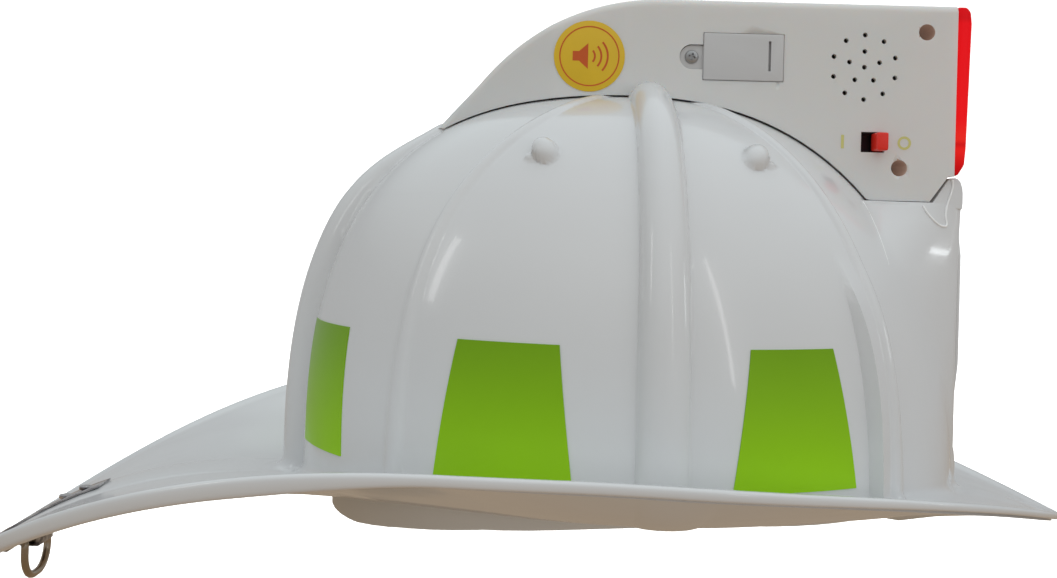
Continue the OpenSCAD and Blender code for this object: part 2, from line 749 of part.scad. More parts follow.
// Chrome clip folded round the brim's rear tip, its rivets and the ring it carries.
function tip_t(x) = (-x - brim_radius(180, 0)) / (brim_rear - brim_radius(180, 0));
function tip_top(x) = brim_height(180, min(1, tip_t(x)));
clip_start = -170;
clip_nose = -brim_rear - bead;
clip_tail = -184;
module tip_clip() {
    lift = 0.05;
    over = [for (x = [clip_start:-5:-200]) [x, tip_top(x) + lift]];
    nose_low = tip_top(-brim_rear) - side_bead_drop - rear_bead_extra;
    round_nose = [[clip_nose - 0.1, tip_top(-brim_rear) - 0.8], [clip_nose - 0.1, nose_low - lift]];
    under = [[-199, nose_low - lift], [-196.5, tip_top(-196.5) - wall - 0.6], [clip_tail, tip_top(clip_tail) - wall - lift]];
    inner = concat(over, round_nose, under);
    outer = [
        [clip_tail, tip_top(clip_tail) - wall - clip_sheet], [-188.5, ring_bar_z + 1.2],
        [-188.5, ring_bar_z - 2.2], [-194.5, ring_bar_z - 2.2], [-195.5, ring_bar_z - 0.8],
        [-198.5, nose_low - clip_sheet], [clip_nose - clip_sheet, nose_low - clip_sheet + 0.4],
        [clip_nose - clip_sheet, tip_top(-brim_rear) - 0.2]
    ];
    back = [for (x = [-200:5:clip_start]) [x, tip_top(x) + clip_sheet]];
    color("silver")
    difference() {
        side_prism(concat(inner, outer, back), clip_half);
        translate([ring_bar_x, -20, ring_bar_z]) rotate([-90, 0, 0])
            cylinder(r = ring_wire + 0.08, h = 40);
    }
}
module tip_rivets() {
    color("silver") for (x = [-176, -182.5]) {
        translate([x, 0, tip_top(x) - wall - 1.6]) cylinder(r = 1.2, h = wall + 3.4);
        translate([x, 0, tip_top(x) + clip_sheet - 0.2]) cylinder(r = 2, h = 1);
    }
}
module hanging_ring() {
    leg = ring_width / 2;
    corner = 7.5;
    drop = ring_depth - corner;
    color("silver") translate([ring_bar_x, 0, ring_bar_z]) {
        translate([0, -leg, 0]) rotate([-90, 0, 0]) cylinder(r = ring_wire, h = ring_width);
        for (side = [-1, 1]) {
            translate([0, side * leg, 0]) sphere(r = ring_wire);
            translate([0, side * leg, -drop]) cylinder(r = ring_wire, h = drop);
            translate([0, side * (leg - corner), -drop]) rotate([0, 90, 0]) rotate([0, 0, side < 0 ? -90 : 0])
                rotate_extrude(angle = 90) translate([corner, 0]) circle(r = ring_wire);
        }
        translate([0, corner - leg, -ring_depth]) rotate([-90, 0, 0])
            cylinder(r = ring_wire, h = ring_width - 2 * corner);
    }
}

shell();
front_shield();
shield_cap();
patch(rear_patch[0], rear_patch[1], -1);  // reflector_rear_right
patch(side_rear_patch[0], side_rear_patch[1], -1);  // reflector_side_rear_right
patch(side_front_patch[0], side_front_patch[1], -1);  // reflector_side_front_right
patch(rear_patch[0], rear_patch[1], 1);  // reflector_rear_left
patch(side_rear_patch[0], side_rear_patch[1], 1);  // reflector_side_rear_left
patch(side_front_patch[0], side_front_patch[1], 1);  // reflector_side_front_left
module_half_right();
module_half_left();
lens();
battery_door();
door_screw();
button_cells();
contact_plates();
contact_spring();
speaker_frame();
speaker_magnet();
speaker_cone();
circuit_board();
sound_chip();
led_board();
leds();
switch_body();
switch_knob();
housing_screws();
mounting_screws();
round_sticker();
leads(battery_route);  // battery_wires
leads(speaker_route);  // speaker_wires
leads(led_route);  // led_wires
headband_front();
nape_strap();
sweat_pad();
headband_clips();
crown_cradle();
crown_button();
tip_clip();
tip_rivets();
hanging_ring();
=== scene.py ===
"""Looks of a child's firefighter helmet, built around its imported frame.

+X is the wearer's front, +Y the wearer's left, +Z up. Shapes are worked out in millimetres and
scaled to metres where a mesh is made.
"""

import json
import math

import bmesh
import bpy
import numpy as np
from mathutils import Matrix, Vector


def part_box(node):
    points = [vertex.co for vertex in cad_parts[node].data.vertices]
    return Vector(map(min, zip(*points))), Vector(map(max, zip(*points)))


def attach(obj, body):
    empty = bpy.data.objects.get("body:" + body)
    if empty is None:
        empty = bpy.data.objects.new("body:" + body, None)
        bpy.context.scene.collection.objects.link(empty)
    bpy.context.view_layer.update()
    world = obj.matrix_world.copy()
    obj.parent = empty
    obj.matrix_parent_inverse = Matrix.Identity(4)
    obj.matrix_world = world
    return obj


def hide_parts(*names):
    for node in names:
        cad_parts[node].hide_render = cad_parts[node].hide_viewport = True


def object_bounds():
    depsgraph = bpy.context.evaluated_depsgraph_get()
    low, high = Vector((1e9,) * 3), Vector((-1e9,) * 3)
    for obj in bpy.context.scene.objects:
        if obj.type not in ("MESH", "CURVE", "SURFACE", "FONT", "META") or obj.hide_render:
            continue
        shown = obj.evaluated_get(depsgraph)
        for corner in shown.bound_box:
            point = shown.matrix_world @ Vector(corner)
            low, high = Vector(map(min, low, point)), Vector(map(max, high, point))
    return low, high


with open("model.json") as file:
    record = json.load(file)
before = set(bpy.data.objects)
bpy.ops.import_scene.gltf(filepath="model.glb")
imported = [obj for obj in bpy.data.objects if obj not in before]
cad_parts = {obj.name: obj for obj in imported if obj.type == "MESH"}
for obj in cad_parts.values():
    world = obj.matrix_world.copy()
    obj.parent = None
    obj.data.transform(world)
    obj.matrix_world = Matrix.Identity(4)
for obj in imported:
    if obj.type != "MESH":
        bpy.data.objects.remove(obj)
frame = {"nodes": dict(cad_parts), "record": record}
cad_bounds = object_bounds()

MM = 0.001
record = frame["record"]
BODY = {node: body for body, nodes in record["behaviour"]["bodies"].items() for node in nodes}
SLOT = {part["node"]: part["material_slot"] for part in record["subparts"]}


def placed(name, data):
    """A new object in the scene."""
    piece = bpy.data.objects.new(name, data)
    bpy.context.scene.collection.objects.link(piece)
    return piece


def fill_ramp(ramp, shades):
    """Sets a colour ramp's stops from (place, colour) pairs."""
    while len(ramp.color_ramp.elements) < len(shades):
        ramp.color_ramp.elements.new(0.5)
    for element, (at, shade) in zip(ramp.color_ramp.elements, shades):
        element.position = at
        element.color = (*shade, 1)


# ---------------------------------------------------------------- camera, lights and stage

CAMERA_AT = (-36.5, -385.0, 81.0)
CAMERA_ROLL = 1.5
FOCAL = 40.35
FRAME_SHIFT = (0.0061, -0.0634)
FLOOR_DROP = 1.0


def make_camera():
    """A close camera at the helmet's right side, level but for a slight roll."""
    data = bpy.data.cameras.new("camera")
    data.lens = FOCAL
    data.sensor_width = 36.0
    data.sensor_fit = "HORIZONTAL"
    data.shift_x, data.shift_y = FRAME_SHIFT
    data.clip_start = 0.01
    camera = placed("camera", data)
    camera.matrix_world = (
        Matrix.Translation(Vector(CAMERA_AT) * MM)
        @ Matrix.Rotation(math.radians(90), 4, "X")
        @ Matrix.Rotation(math.radians(CAMERA_ROLL), 4, "Z")
    )
    bpy.context.scene.camera = camera


def area_light(name, at, target, size, power, color=(1, 1, 1), reflected=True):
    """A rectangular softbox that faces its target."""
    data = bpy.data.lights.new(name, "AREA")
    data.shape = "RECTANGLE"
    data.size, data.size_y = size
    data.energy = power
    data.color = color
    lamp = placed(name, data)
    lamp.location = at
    lamp.rotation_euler = (Vector(target) - Vector(at)).to_track_quat("-Z", "Y").to_euler()
    lamp.visible_glossy = reflected
    return lamp


def make_sky():
    """A soft surround: cool overhead, grey at eye level and warm below."""
    world = bpy.data.worlds.new("world")
    world.use_nodes = True
    tree = world.node_tree
    background = tree.nodes["Background"]
    place, split, lift, ramp = (
        tree.nodes.new("ShaderNode" + kind) for kind in ("TexCoord", "SeparateXYZ", "MapRange", "ValToRGB")
    )
    tree.links.new(place.outputs["Generated"], split.inputs["Vector"])
    shades = [
        (0.0, (0.36, 0.27, 0.18)), (0.40, (0.36, 0.29, 0.22)), (0.48, (0.44, 0.44, 0.44)),
        (0.64, (0.41, 0.42, 0.43)), (0.80, (0.78, 0.84, 0.85)), (1.0, (0.84, 0.88, 0.89)),
    ]
    fill_ramp(ramp, shades)
    lift.inputs["From Min"].default_value = -1.0
    tree.links.new(split.outputs["Z"], lift.inputs["Value"])
    tree.links.new(lift.outputs["Result"], ramp.inputs["Fac"])
    tree.links.new(ramp.outputs["Color"], background.inputs["Color"])
    background.inputs["Strength"].default_value = 1.0
    bpy.context.scene.world = world


def make_lights(floor):
    """Even light from the camera's right, narrow lamps for the gloss, and three for the stage alone."""
    middle = (0, 0, 0.06)
    area_light("overhead", (0.1, -0.3, 1.3), middle, (1.4, 1.0), 1.0, (0.96, 0.99, 1.0), False)
    area_light("camera_side", (0.9, -1.4, 0.16), middle, (1.6, 0.3), 3.1, (0.985, 0.99, 1.0), False)
    area_light("front_strip", (0.66, -1.15, 0.62), middle, (0.03, 0.8), 0.4)
    window_at, pylon_middle = (1.272, 0.158, 0.29), (0.09, -0.02, 0.076)
    area_light("front_window", window_at, pylon_middle, (0.06, 0.2), 0.22, (0.92, 0.98, 1.0))
    area_light("rear_strip", (-1.3, -0.5, 0.75), middle, (0.08, 0.5), 0.5)
    stage_only = bpy.data.collections.new("stage_only")
    stage_only.objects.link(floor)
    stage_lamps = [((-1.5, -0.6, 1.9), 1.6, 70.0), ((1.5, -0.6, 1.9), 1.6, 70.0), ((0, -2.2, 0.7), 2.0, 60.0)]
    for at, size, power in stage_lamps:
        lamp = area_light("stage_lamp", at, (0, 0.5, 0), (size, size), power, reflected=False)
        lamp.light_linking.receiver_collection = stage_only
        lamp.light_linking.blocker_collection = stage_only


def make_stage():
    """A pale floor that curves up into a backdrop."""
    half_width, near, far, bend, height = 6.0, -4.0, 1.6, 0.8, 3.0
    low = cad_bounds[0][2] - FLOOR_DROP * MM
    steps = 16
    line = [(near, low), (far, low)]
    for k in range(1, steps + 1):
        turn = math.pi / 2 * k / steps
        line.append((far + bend * math.sin(turn), low + bend * (1 - math.cos(turn))))
    line.append((far + bend, low + height))
    points = [(side * half_width, y, z) for y, z in line for side in (-1, 1)]
    faces = [(2 * k, 2 * k + 1, 2 * k + 3, 2 * k + 2) for k in range(len(line) - 1)]
    mesh = bpy.data.meshes.new("floor")
    mesh.from_pydata(points, [], faces)
    mesh.polygons.foreach_set("use_smooth", [True] * len(faces))
    floor = placed("floor", mesh)
    mesh.materials.append(Finish("floor_paint", (0.9, 0.9, 0.9), 0.9).material)
    floor.visible_diffuse = False
    floor.visible_glossy = False
    return floor


# ---------------------------------------------------------------- materials


class Finish:
    """A material being built: its Principled shader and its object coordinates."""

    def __init__(self, name, color, roughness, metallic=0.0):
        self.material = bpy.data.materials.new(name)
        self.material.use_nodes = True
        self.tree = self.material.node_tree
        self.shader = self.tree.nodes["Principled BSDF"]
        self.set("Base Color", (*color, 1))
        self.set("Roughness", roughness)
        self.set("Metallic", metallic)
        self.color = color
        self.roughness = roughness
        self.place = self.tree.nodes.new("ShaderNodeTexCoord").outputs["Object"]

    def set(self, socket, value):
        self.shader.inputs[socket].default_value = value

    def link(self, output, socket):
        self.tree.links.new(output, self.shader.inputs[socket])

    def noise(self, scale, detail=3.0, stretch=(1, 1, 1)):
        mapping = self.tree.nodes.new("ShaderNodeMapping")
        mapping.inputs["Scale"].default_value = stretch
        self.tree.links.new(self.place, mapping.inputs["Vector"])
        texture = self.tree.nodes.new("ShaderNodeTexNoise")
        texture.inputs["Scale"].default_value = scale
        texture.inputs["Detail"].default_value = detail
        self.tree.links.new(mapping.outputs["Vector"], texture.inputs["Vector"])
        return texture.outputs["Fac"]

    def remap(self, value, *limits):
        """Maps a value from one range to another: the limits are from low, from high, to low, to high."""
        node = self.tree.nodes.new("ShaderNodeMapRange")
        for socket, limit in zip(("From Min", "From Max", "To Min", "To Max"), limits):
            node.inputs[socket].default_value = limit
        self.tree.links.new(value, node.inputs["Value"])
        return node.outputs["Result"]

    def spread(self, value, low, high):
        """Maps the middle of a noise to a range."""
        return self.remap(value, 0.3, 0.7, low, high)

    def rise(self, low, high):
        """A point's height between two heights in metres, as a share."""
        split = self.tree.nodes.new("ShaderNodeSeparateXYZ")
        self.tree.links.new(self.place, split.inputs["Vector"])
        return self.remap(split.outputs["Z"], low, high, 0.0, 1.0)

    def mix(self, factor, first, second):
        node = self.tree.nodes.new("ShaderNodeMix")
        node.data_type = "RGBA"
        self.tree.links.new(factor, node.inputs["Factor"])
        for socket, value in (("A", first), ("B", second)):
            target = next(i for i in node.inputs if i.name == socket and i.type == "RGBA")
            if isinstance(value, tuple):
                target.default_value = (*value, 1)
            else:
                self.tree.links.new(value, target)
        return next(o for o in node.outputs if o.type == "RGBA")

    def tint(self, shade, scale, stretch=(1, 1, 1)):
        """Clouds of a slightly different shade, and roughness that follows them."""
        clouds = self.spread(self.noise(scale, 4.0, stretch), 0.0, 1.0)
        self.link(self.mix(clouds, self.color, shade), "Base Color")
        self.link(
            self.spread(self.noise(scale * 2.3, 4.0, stretch), self.roughness * 0.82, self.roughness * 1.2),
            "Roughness",
        )
        return self

    def grain(self, scale, strength, depth, stretch=(1, 1, 1), detail=2.0):
        """A fine relief in the surface."""
        node = self.tree.nodes.new("ShaderNodeBump")
        node.inputs["Strength"].default_value = strength
        node.inputs["Distance"].default_value = depth
        self.tree.links.new(self.noise(scale, detail, stretch), node.inputs["Height"])
        self.link(node.outputs["Normal"], "Normal")
        return self


def shade_of(color, factor):
    return tuple(min(1.0, c * factor) for c in color)


def moulded(name, color, roughness, grain=260.0, relief=0.06, coat=0.0, glow=0.0):
    """Injection-moulded plastic: faint flow clouds, a slight orange peel and light that seeps through."""
    made = Finish(name, color, roughness).tint(shade_of(color, 0.965), 16.0)
    made.grain(grain, relief, 0.0004)
    made.set("Specular IOR Level", 0.5)
    made.set("Coat Weight", coat)
    made.set("Coat Roughness", 0.06)
    made.set("Subsurface Weight", glow)
    made.set("Subsurface Radius", (0.006, 0.0035, 0.0025))
    made.set("Subsurface Scale", 1.0)
    return made.material


def metal(name, color, roughness, brushed=(1, 1, 1), relief=0.08):
    made = Finish(name, color, roughness, 1.0).tint(shade_of(color, 0.8), 60.0, brushed)
    return made.grain(900.0, relief, 0.0002, brushed).material


# Colour, roughness, then as moulded() and metal() take them.
PLASTICS = {
    "shell_white": ((0.72, 0.725, 0.735), 0.2, 140.0, 0.04, 0.5),
    "module_white": ((0.77, 0.745, 0.725), 0.38, 420.0, 0.08, 0.0, 0.3),
    "shield_white": ((0.72, 0.72, 0.72), 0.26),
    "band_white": ((0.70, 0.69, 0.66), 0.42, 500.0, 0.15),
    "trim_white": ((0.72, 0.71, 0.70), 0.38),
    "knob_red": ((0.82, 0.025, 0.012), 0.36),
    "chip_black": ((0.018, 0.018, 0.018), 0.35, 200.0, 0.3),
    "cone_black": ((0.03, 0.03, 0.032), 0.55, 700.0, 0.2),
    "board_green": ((0.03, 0.17, 0.06), 0.32, 600.0, 0.12),
    "mark_yellow": ((0.66, 0.62, 0.22), 0.5),
    "lead_red": ((0.55, 0.02, 0.015), 0.45),
    "lead_black": ((0.02, 0.02, 0.02), 0.45),
    # Painted highlight: a lighter white for the thin lips in place of the light they catch.
    "lip_painted_highlight": ((0.97, 0.975, 0.98), 0.2, 140.0, 0.02, 0.5),
    "door_white": ((0.60, 0.60, 0.605), 0.38, 420.0, 0.08),
}
METALS = {
    "screw_steel": ((0.46, 0.46, 0.46), 0.32),
    "cell_steel": ((0.66, 0.66, 0.64), 0.26, (1, 8, 8)),
    "contact_brass": ((0.72, 0.55, 0.25), 0.3),
    "speaker_grey": ((0.12, 0.12, 0.125), 0.4),
    "magnet_grey": ((0.25, 0.25, 0.26), 0.45),
    "ring_steel": ((0.44, 0.36, 0.27), 0.2, (3, 1, 1), 0.05),
    "switch_dark": ((0.035, 0.03, 0.035), 0.4),
}


def make_materials():
    paints = {name: moulded(name, *look) for name, look in PLASTICS.items()}
    paints.update({name: metal(name, *look) for name, look in METALS.items()})
    paints["boss_painted_glow"] = painted_glow_wall()
    paints["clip_chrome"] = streaked_chrome()
    paints["reflector_lime"] = reflective_sheet()
    paints["sticker_yellow"] = printed_film("sticker_yellow", (0.80, 0.52, 0.02))
    paints["sticker_red"] = printed_film("sticker_red", (0.62, 0.10, 0.01))
    paints["lens_red"] = red_lens()
    paints["led_clear"] = led_epoxy()
    paints["pad_black"] = foam_fabric()
    return paints


def printed_film(name, color):
    made = Finish(name, color, 0.42).tint(shade_of(color, 0.93), 70.0)
    return made.grain(1500.0, 0.08, 0.0001).material


def reflective_sheet():
    """Lime sheet with a fine cross-hatched cell pattern, and painted shade that makes it a little darker
    towards its top.
    """
    made = Finish("reflector_lime", (0.30, 0.56, 0.02), 0.33)
    # Painted shade: the colour darkens with height for the way light falls on the sheet.
    upward = made.mix(made.rise(0.012, 0.050), (0.33, 0.68, 0.004), (0.175, 0.37, 0.004))
    clouds = made.spread(made.noise(40.0, 4.0), 0.0, 0.25)
    made.link(made.mix(clouds, upward, (0.25, 0.50, 0.005)), "Base Color")
    made.set("Specular IOR Level", 0.2)
    made.set("Coat Weight", 0.1)
    made.set("Coat Roughness", 0.12)
    return made.grain(700.0, 0.10, 0.0001).material


def painted_glow_wall():
    """The thin wall of a screw boss: a painted beige tone and a painted glow stand for light seeping through
    the plastic and bouncing in the bore.
    """
    made = Finish("boss_painted_glow", (0.50, 0.36, 0.29), 0.5).tint((0.42, 0.29, 0.23), 90.0)
    # Painted glow: emission in place of the light that comes through the plastic.
    made.set("Emission Color", (0.95, 0.66, 0.52, 1))
    made.set("Emission Strength", 0.07)
    return made.grain(420.0, 0.08, 0.0004).material


def streaked_chrome():
    """Mirror plating with dark streaks painted along the folded strip, for tarnish and for the dark
    reflections in it.
    """
    # Painted reflections: the dark streaks in the base colour stand for dark surroundings mirrored in the
    # plating, as well as tarnish.
    made = Finish("clip_chrome", (0.62, 0.6, 0.6), 0.14, 1.0).tint((0.03, 0.025, 0.04), 420.0, (0.06, 1, 1))
    return made.grain(900.0, 0.05, 0.0002, (3, 1, 1)).material


def red_lens():
    """Clear red plastic with a painted glow standing for the light it gathers, set by height and deeper where
    its ends turn in.
    """
    made = Finish("lens_red", (0.62, 0.002, 0.004), 0.3)
    ramp = made.tree.nodes.new("ShaderNodeValToRGB")
    painted_glow_by_height = [
        (0.0, (0.10, 0.002, 0.004)), (0.06, (0.45, 0.004, 0.006)), (0.16, (1.0, 0.03, 0.02)),
        (0.19, (0.6, 0.008, 0.008)), (0.22, (1.0, 0.045, 0.025)), (0.34, (1.0, 0.008, 0.012)),
        (0.90, (0.85, 0.005, 0.012)), (0.93, (0.5, 0.003, 0.008)), (1.0, (0.62, 0.004, 0.01)),
    ]
    fill_ramp(ramp, painted_glow_by_height)
    made.tree.links.new(made.rise(0.0985, 0.1515), ramp.inputs["Fac"])
    # Painted glow: emission coloured by height in place of light gathered in the lens.
    made.link(ramp.outputs["Color"], "Emission Color")
    made.set("Specular IOR Level", 0.12)
    made.set("Emission Strength", 0.42)
    return made.grain(160.0, 0.12, 0.0004, (1, 1, 0.2)).material


def led_epoxy():
    made = Finish("led_clear", (0.9, 0.75, 0.72), 0.08)
    made.set("Transmission Weight", 0.8)
    made.set("IOR", 1.5)
    return made.grain(300.0, 0.05, 0.0002).material


def foam_fabric():
    """Knitted face on a foam pad."""
    made = Finish("pad_black", (0.022, 0.022, 0.024), 0.9)
    made.set("Sheen Weight", 0.4)
    made.set("Sheen Roughness", 0.5)
    made.tint((0.035, 0.035, 0.038), 120.0)
    return made.grain(1800.0, 0.6, 0.0004, (1, 1, 0.5)).material


# ---------------------------------------------------------------- mesh helpers


def apply_modifiers(piece):
    """Bakes a piece's modifiers into its mesh."""
    depsgraph = bpy.context.evaluated_depsgraph_get()
    mesh = bpy.data.meshes.new_from_object(piece.evaluated_get(depsgraph))
    piece.modifiers.clear()
    piece.data = mesh
    return piece


def solid(name, points, faces, tidy=True):
    """A mesh object from points in millimetres."""
    mesh = bpy.data.meshes.new(name)
    mesh.from_pydata((np.asarray(points, float) * MM).tolist(), [], faces)
    if tidy:
        work = bmesh.new()
        work.from_mesh(mesh)
        bmesh.ops.remove_doubles(work, verts=work.verts, dist=0.002 * MM)
        bmesh.ops.recalc_face_normals(work, faces=work.faces)
        work.to_mesh(mesh)
        work.free()
    return placed(name, mesh)


def band_faces(rings, columns, closed=False):
    """Quads that join rings of points, and two end caps unless the last ring meets the first."""
    faces = []
    for i in range(rings if closed else rings - 1):
        n = (i + 1) % rings
        for k in range(columns):
            j = (k + 1) % columns
            faces.append((i * columns + k, i * columns + j, n * columns + j, n * columns + k))
    if not closed:
        faces.append(tuple(range(columns - 1, -1, -1)))
        faces.append(tuple(range((rings - 1) * columns, rings * columns)))
    return faces


def node_copy(node, name=None):
    """A free copy of a CAD node's mesh, with its flat faces joined up."""
    mesh = frame["nodes"][node].data.copy()
    work = bmesh.new()
    work.from_mesh(mesh)
    bmesh.ops.remove_doubles(work, verts=work.verts, dist=0.001 * MM)
    bmesh.ops.dissolve_limit(work, angle_limit=math.radians(0.4), verts=work.verts, edges=work.edges)
    work.to_mesh(mesh)
    work.free()
    mesh.materials.clear()
    return placed(name or node + "_made", mesh)


def bevel(piece, width, segments=3, angle=35.0):
    """Rounds the edges that turn by more than an angle."""
    change = piece.modifiers.new("bevel", "BEVEL")
    change.width = width * MM
    change.segments = segments
    change.limit_method = "ANGLE"
    change.angle_limit = math.radians(angle)
    change.use_clamp_overlap = True
    return apply_modifiers(piece)


def boolean(piece, other, operation):
    """Cuts, joins or intersects with another solid, which is used up."""
    change = piece.modifiers.new("boolean", "BOOLEAN")
    change.operation = operation
    change.solver = "EXACT"
    change.object = other
    apply_modifiers(piece)
    bpy.data.objects.remove(other)
    return piece


def joined(name, pieces):
    """Several meshes as one object."""
    points, faces = [], []
    for piece in pieces:
        start = len(points)
        points += [tuple(v.co / MM) for v in piece.data.vertices]
        faces += [tuple(start + i for i in p.vertices) for p in piece.data.polygons]
        bpy.data.objects.remove(piece)
    return solid(name, points, faces, tidy=False)


def dress(piece, paint, body="root", nodes=(), sharp=38.0):
    """Gives a piece its material, its shading and its body, and hides the CAD nodes that it stands for."""
    piece.data.materials.clear()
    piece.data.materials.append(PAINT[paint])
    piece.data.polygons.foreach_set("use_smooth", [True] * len(piece.data.polygons))
    piece.data.set_sharp_from_angle(angle=math.radians(sharp))
    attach(piece, body)
    if nodes:
        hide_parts(*nodes)
    return piece


def stand_in(piece, node, paint=None, sharp=38.0):
    """Dresses a piece that takes one CAD node's place, body and slot."""
    return dress(piece, paint or SLOT[node], BODY[node], (node,), sharp)


def prism(name, outline, low, high):
    """An outline of (x, z) points pushed along Y."""
    points = [(u, level, v) for level in (low, high) for u, v in outline]
    return solid(name, points, band_faces(2, len(outline)))


def box_outline(x0, z0, x1, z1):
    return [(x0, z0), (x1, z0), (x1, z1), (x0, z1)]


def arc_points(centre, radius, turns):
    return [(centre[0] + radius * math.cos(t), centre[1] + radius * math.sin(t)) for t in turns]


def ring_points(centre, radius, count):
    return arc_points(centre, radius, [2 * math.pi * k / count for k in range(count)])


def turned(name, profile, at, axis, count=48):
    """A solid of revolution: (radius, distance) points about an axis direction through a point."""
    direction = Vector(axis).normalized()
    side = direction.orthogonal().normalized()
    other = direction.cross(side)
    points = []
    for radius, reach in profile:
        spot = Vector(at) + direction * reach
        points += [tuple(spot + (side * u + other * v)) for u, v in ring_points((0, 0), radius, count)]
    return solid(name, points, band_faces(len(profile), count))


def swept(name, path, radius, sides=12, closed=False):
    """A round bar along a path of points."""
    path = [Vector(p) for p in path]
    count = len(path)
    points = []
    normal = None
    for i, spot in enumerate(path):
        before = path[(i - 1) % count] if closed else path[max(0, i - 1)]
        after = path[(i + 1) % count] if closed else path[min(count - 1, i + 1)]
        along = (after - before).normalized()
        if normal is None:
            normal = along.orthogonal().normalized()
        normal = (normal - along * normal.dot(along)).normalized()
        across = along.cross(normal)
        points += [tuple(spot + normal * u + across * v) for u, v in ring_points((0, 0), radius, sides)]
    return solid(name, points, band_faces(count, sides, closed), tidy=not closed)


# ---------------------------------------------------------------- the moulded shell

DOME_FRONT, DOME_REAR, DOME_HALF, DOME_TOP = 100.0, 104.5, 85.0, 121.5
WALL = 2.2
BRIM_REAR, BRIM_FRONT, BRIM_HALF = 201.0, 138.5, 118.0
EDGE_SIDE, EDGE_REAR_DROP, EDGE_FRONT_DROP, REAR_SWELL = 22.3, 46.3, 31.3, 12.0
CREST_X = -50.0
BEAD, LIP_RISE = 1.6, 0.7
ROOT_FILLET, ROOT_LIFT = 4.0, 8.0
PYLON_FRONT, PYLON_NOSE, PYLON_BASE, PYLON_TOP = 101.5, 14.0, 74.0, 90.3
FOOT_FRONT, FOOT_HEIGHT = 103.2, 14.0
MODULE_HALF = 18.0


def sind(a):
    return np.sin(np.radians(a))


def cosd(a):
    return np.cos(np.radians(a))


def smooth(t):
    s = np.clip(t, 0, 1)
    return s * s * (3 - 2 * s)


def blend_max(a, b, k):
    h = np.maximum(0, k - np.abs(a - b)) / k
    return np.maximum(a, b) + h * h * k / 4


def plan_radius(a, inset=0.0):
    reach = np.where(cosd(a) > 0, DOME_FRONT, DOME_REAR) - inset
    return 1 / np.sqrt((cosd(a) / reach) ** 2 + (sind(a) / (DOME_HALF - inset)) ** 2)


def fullness(a):
    return 2.5 - 0.25 * cosd(a)


def dome_radius(a, z, inset=0.0):
    n = fullness(a)
    f = np.clip(z / (DOME_TOP - inset), 0, 1)
    return plan_radius(a, inset) * np.maximum(0, 1 - f**n) ** (1 / n)


def dome_normal(a, z):
    """The plain dome's outward direction in the upright plane at an azimuth: (outward, up)."""
    n = fullness(a)
    f = np.clip(z / DOME_TOP, 0, 1)
    q = np.maximum(0, 1 - f**n) ** (1 / n)
    out = q ** (n - 1) / plan_radius(a)
    up = f ** (n - 1) / DOME_TOP
    size = np.hypot(out, up)
    return out / size, up / size


def dome_over(x, y):
    a = np.degrees(np.arctan2(np.abs(y), x))
    n = fullness(a)
    q = np.hypot(x, y) / plan_radius(a)
    return DOME_TOP * np.maximum(0, 1 - q**n) ** (1 / n)


def root_height(a):
    return ROOT_LIFT * (1 - cosd(a) ** 6)


def pylon_spread(z):
    return 24 + 29 * (1 - np.clip(z / PYLON_TOP, 0, 1) ** 3)


def pylon_radius(a, z, inset=0.0):
    nose = PYLON_FRONT - inset
    half = PYLON_NOSE - inset
    foot = (FOOT_FRONT - PYLON_FRONT) * np.sqrt(np.clip(1 - (np.clip(z, 0, None) / FOOT_HEIGHT) ** 2, 0, 1))
    dx = PYLON_BASE - inset - nose
    dy = pylon_spread(z) - inset - half
    wall = (nose * dy - half * dx) / (cosd(a) * dy - sind(a) * dx)
    return -blend_max(-(nose + foot) / cosd(a), -wall, 5.0)


def shoulder(z, inset=0.0):
    """How far the pylon's top edge is drawn in to round it."""
    radius = 1.6
    t = np.clip((z - (PYLON_TOP - inset - radius)) / radius, 0, 1)
    return radius * (1 - np.sqrt(1 - t * t))


def body_radius(a, z, inset=0.0):
    """The dome with its pylon, before ribs."""
    r = dome_radius(a, z, inset)
    near = (a < 50) & (z <= PYLON_TOP - inset + 1e-6)
    safe = np.where(a < 50, a, 0.0)
    p = pylon_radius(safe, z, inset)
    p = p - shoulder(z, inset) * (1 - smooth((p * cosd(safe) - 80) / 6))
    blended = blend_max(r, p, 1.8 if inset == 0 else 1.0)
    return np.where(near, blended, r)


def bump(d, w, h, power=0.62):
    return h * np.clip(1 - (d / w) ** 2, 0, 1) ** power


def rounded_end(run, length=6.0):
    t = np.clip(run / length, 0, 1)
    return np.sqrt(1 - (1 - t) ** 2)


def rib_lift(a, z, r, thinner=0.0):
    """Outward lift of the ribs and nubs over the plain dome."""
    x = r * cosd(a)
    y = r * sind(a)
    run = rounded_end(y - MODULE_HALF - 0.3 - thinner)
    high = np.clip(z, 0, None) / DOME_TOP
    drift = high**6
    lateral = bump(x - 0.6 - 0.9 * high, 6.9 - 0.7 * high - thinner, 5.5 - 0.3 * thinner)
    lateral *= (0.65 + 0.35 * smooth(z / 60)) * run
    rear = bump(r * sind(180 - a), 8.5 - thinner, 7.5) * smooth((r - 57) / 5) * (a > 130)
    rear = rear * (0.35 + 0.65 * smooth((r - 65) / 28))
    low = smooth(1 - z / 90)
    front_line = bump(r * sind(a - 43.5 - 4 * drift), 2.1 + 1.5 * low - thinner / 2, 1.1, 0.8)
    front_line = front_line * run * (np.abs(a - 45) < 45)
    rear_line = bump(r * sind(a - 138 + 16 * drift), 2.0 + 1.2 * low - thinner / 2, 0.9, 0.8)
    rear_line = rear_line * run * (np.abs(a - 130) < 45)
    pylon_side = (a < 30) & (z < PYLON_TOP)
    lift = lateral + rear + front_line + rear_line
    if thinner == 0:
        lift = lift + nub(x, z, -30.4, 100.7, -1) + nub(x, z, 29.0, 100.5, 1)
    return np.where(pylon_side, 0, lift)


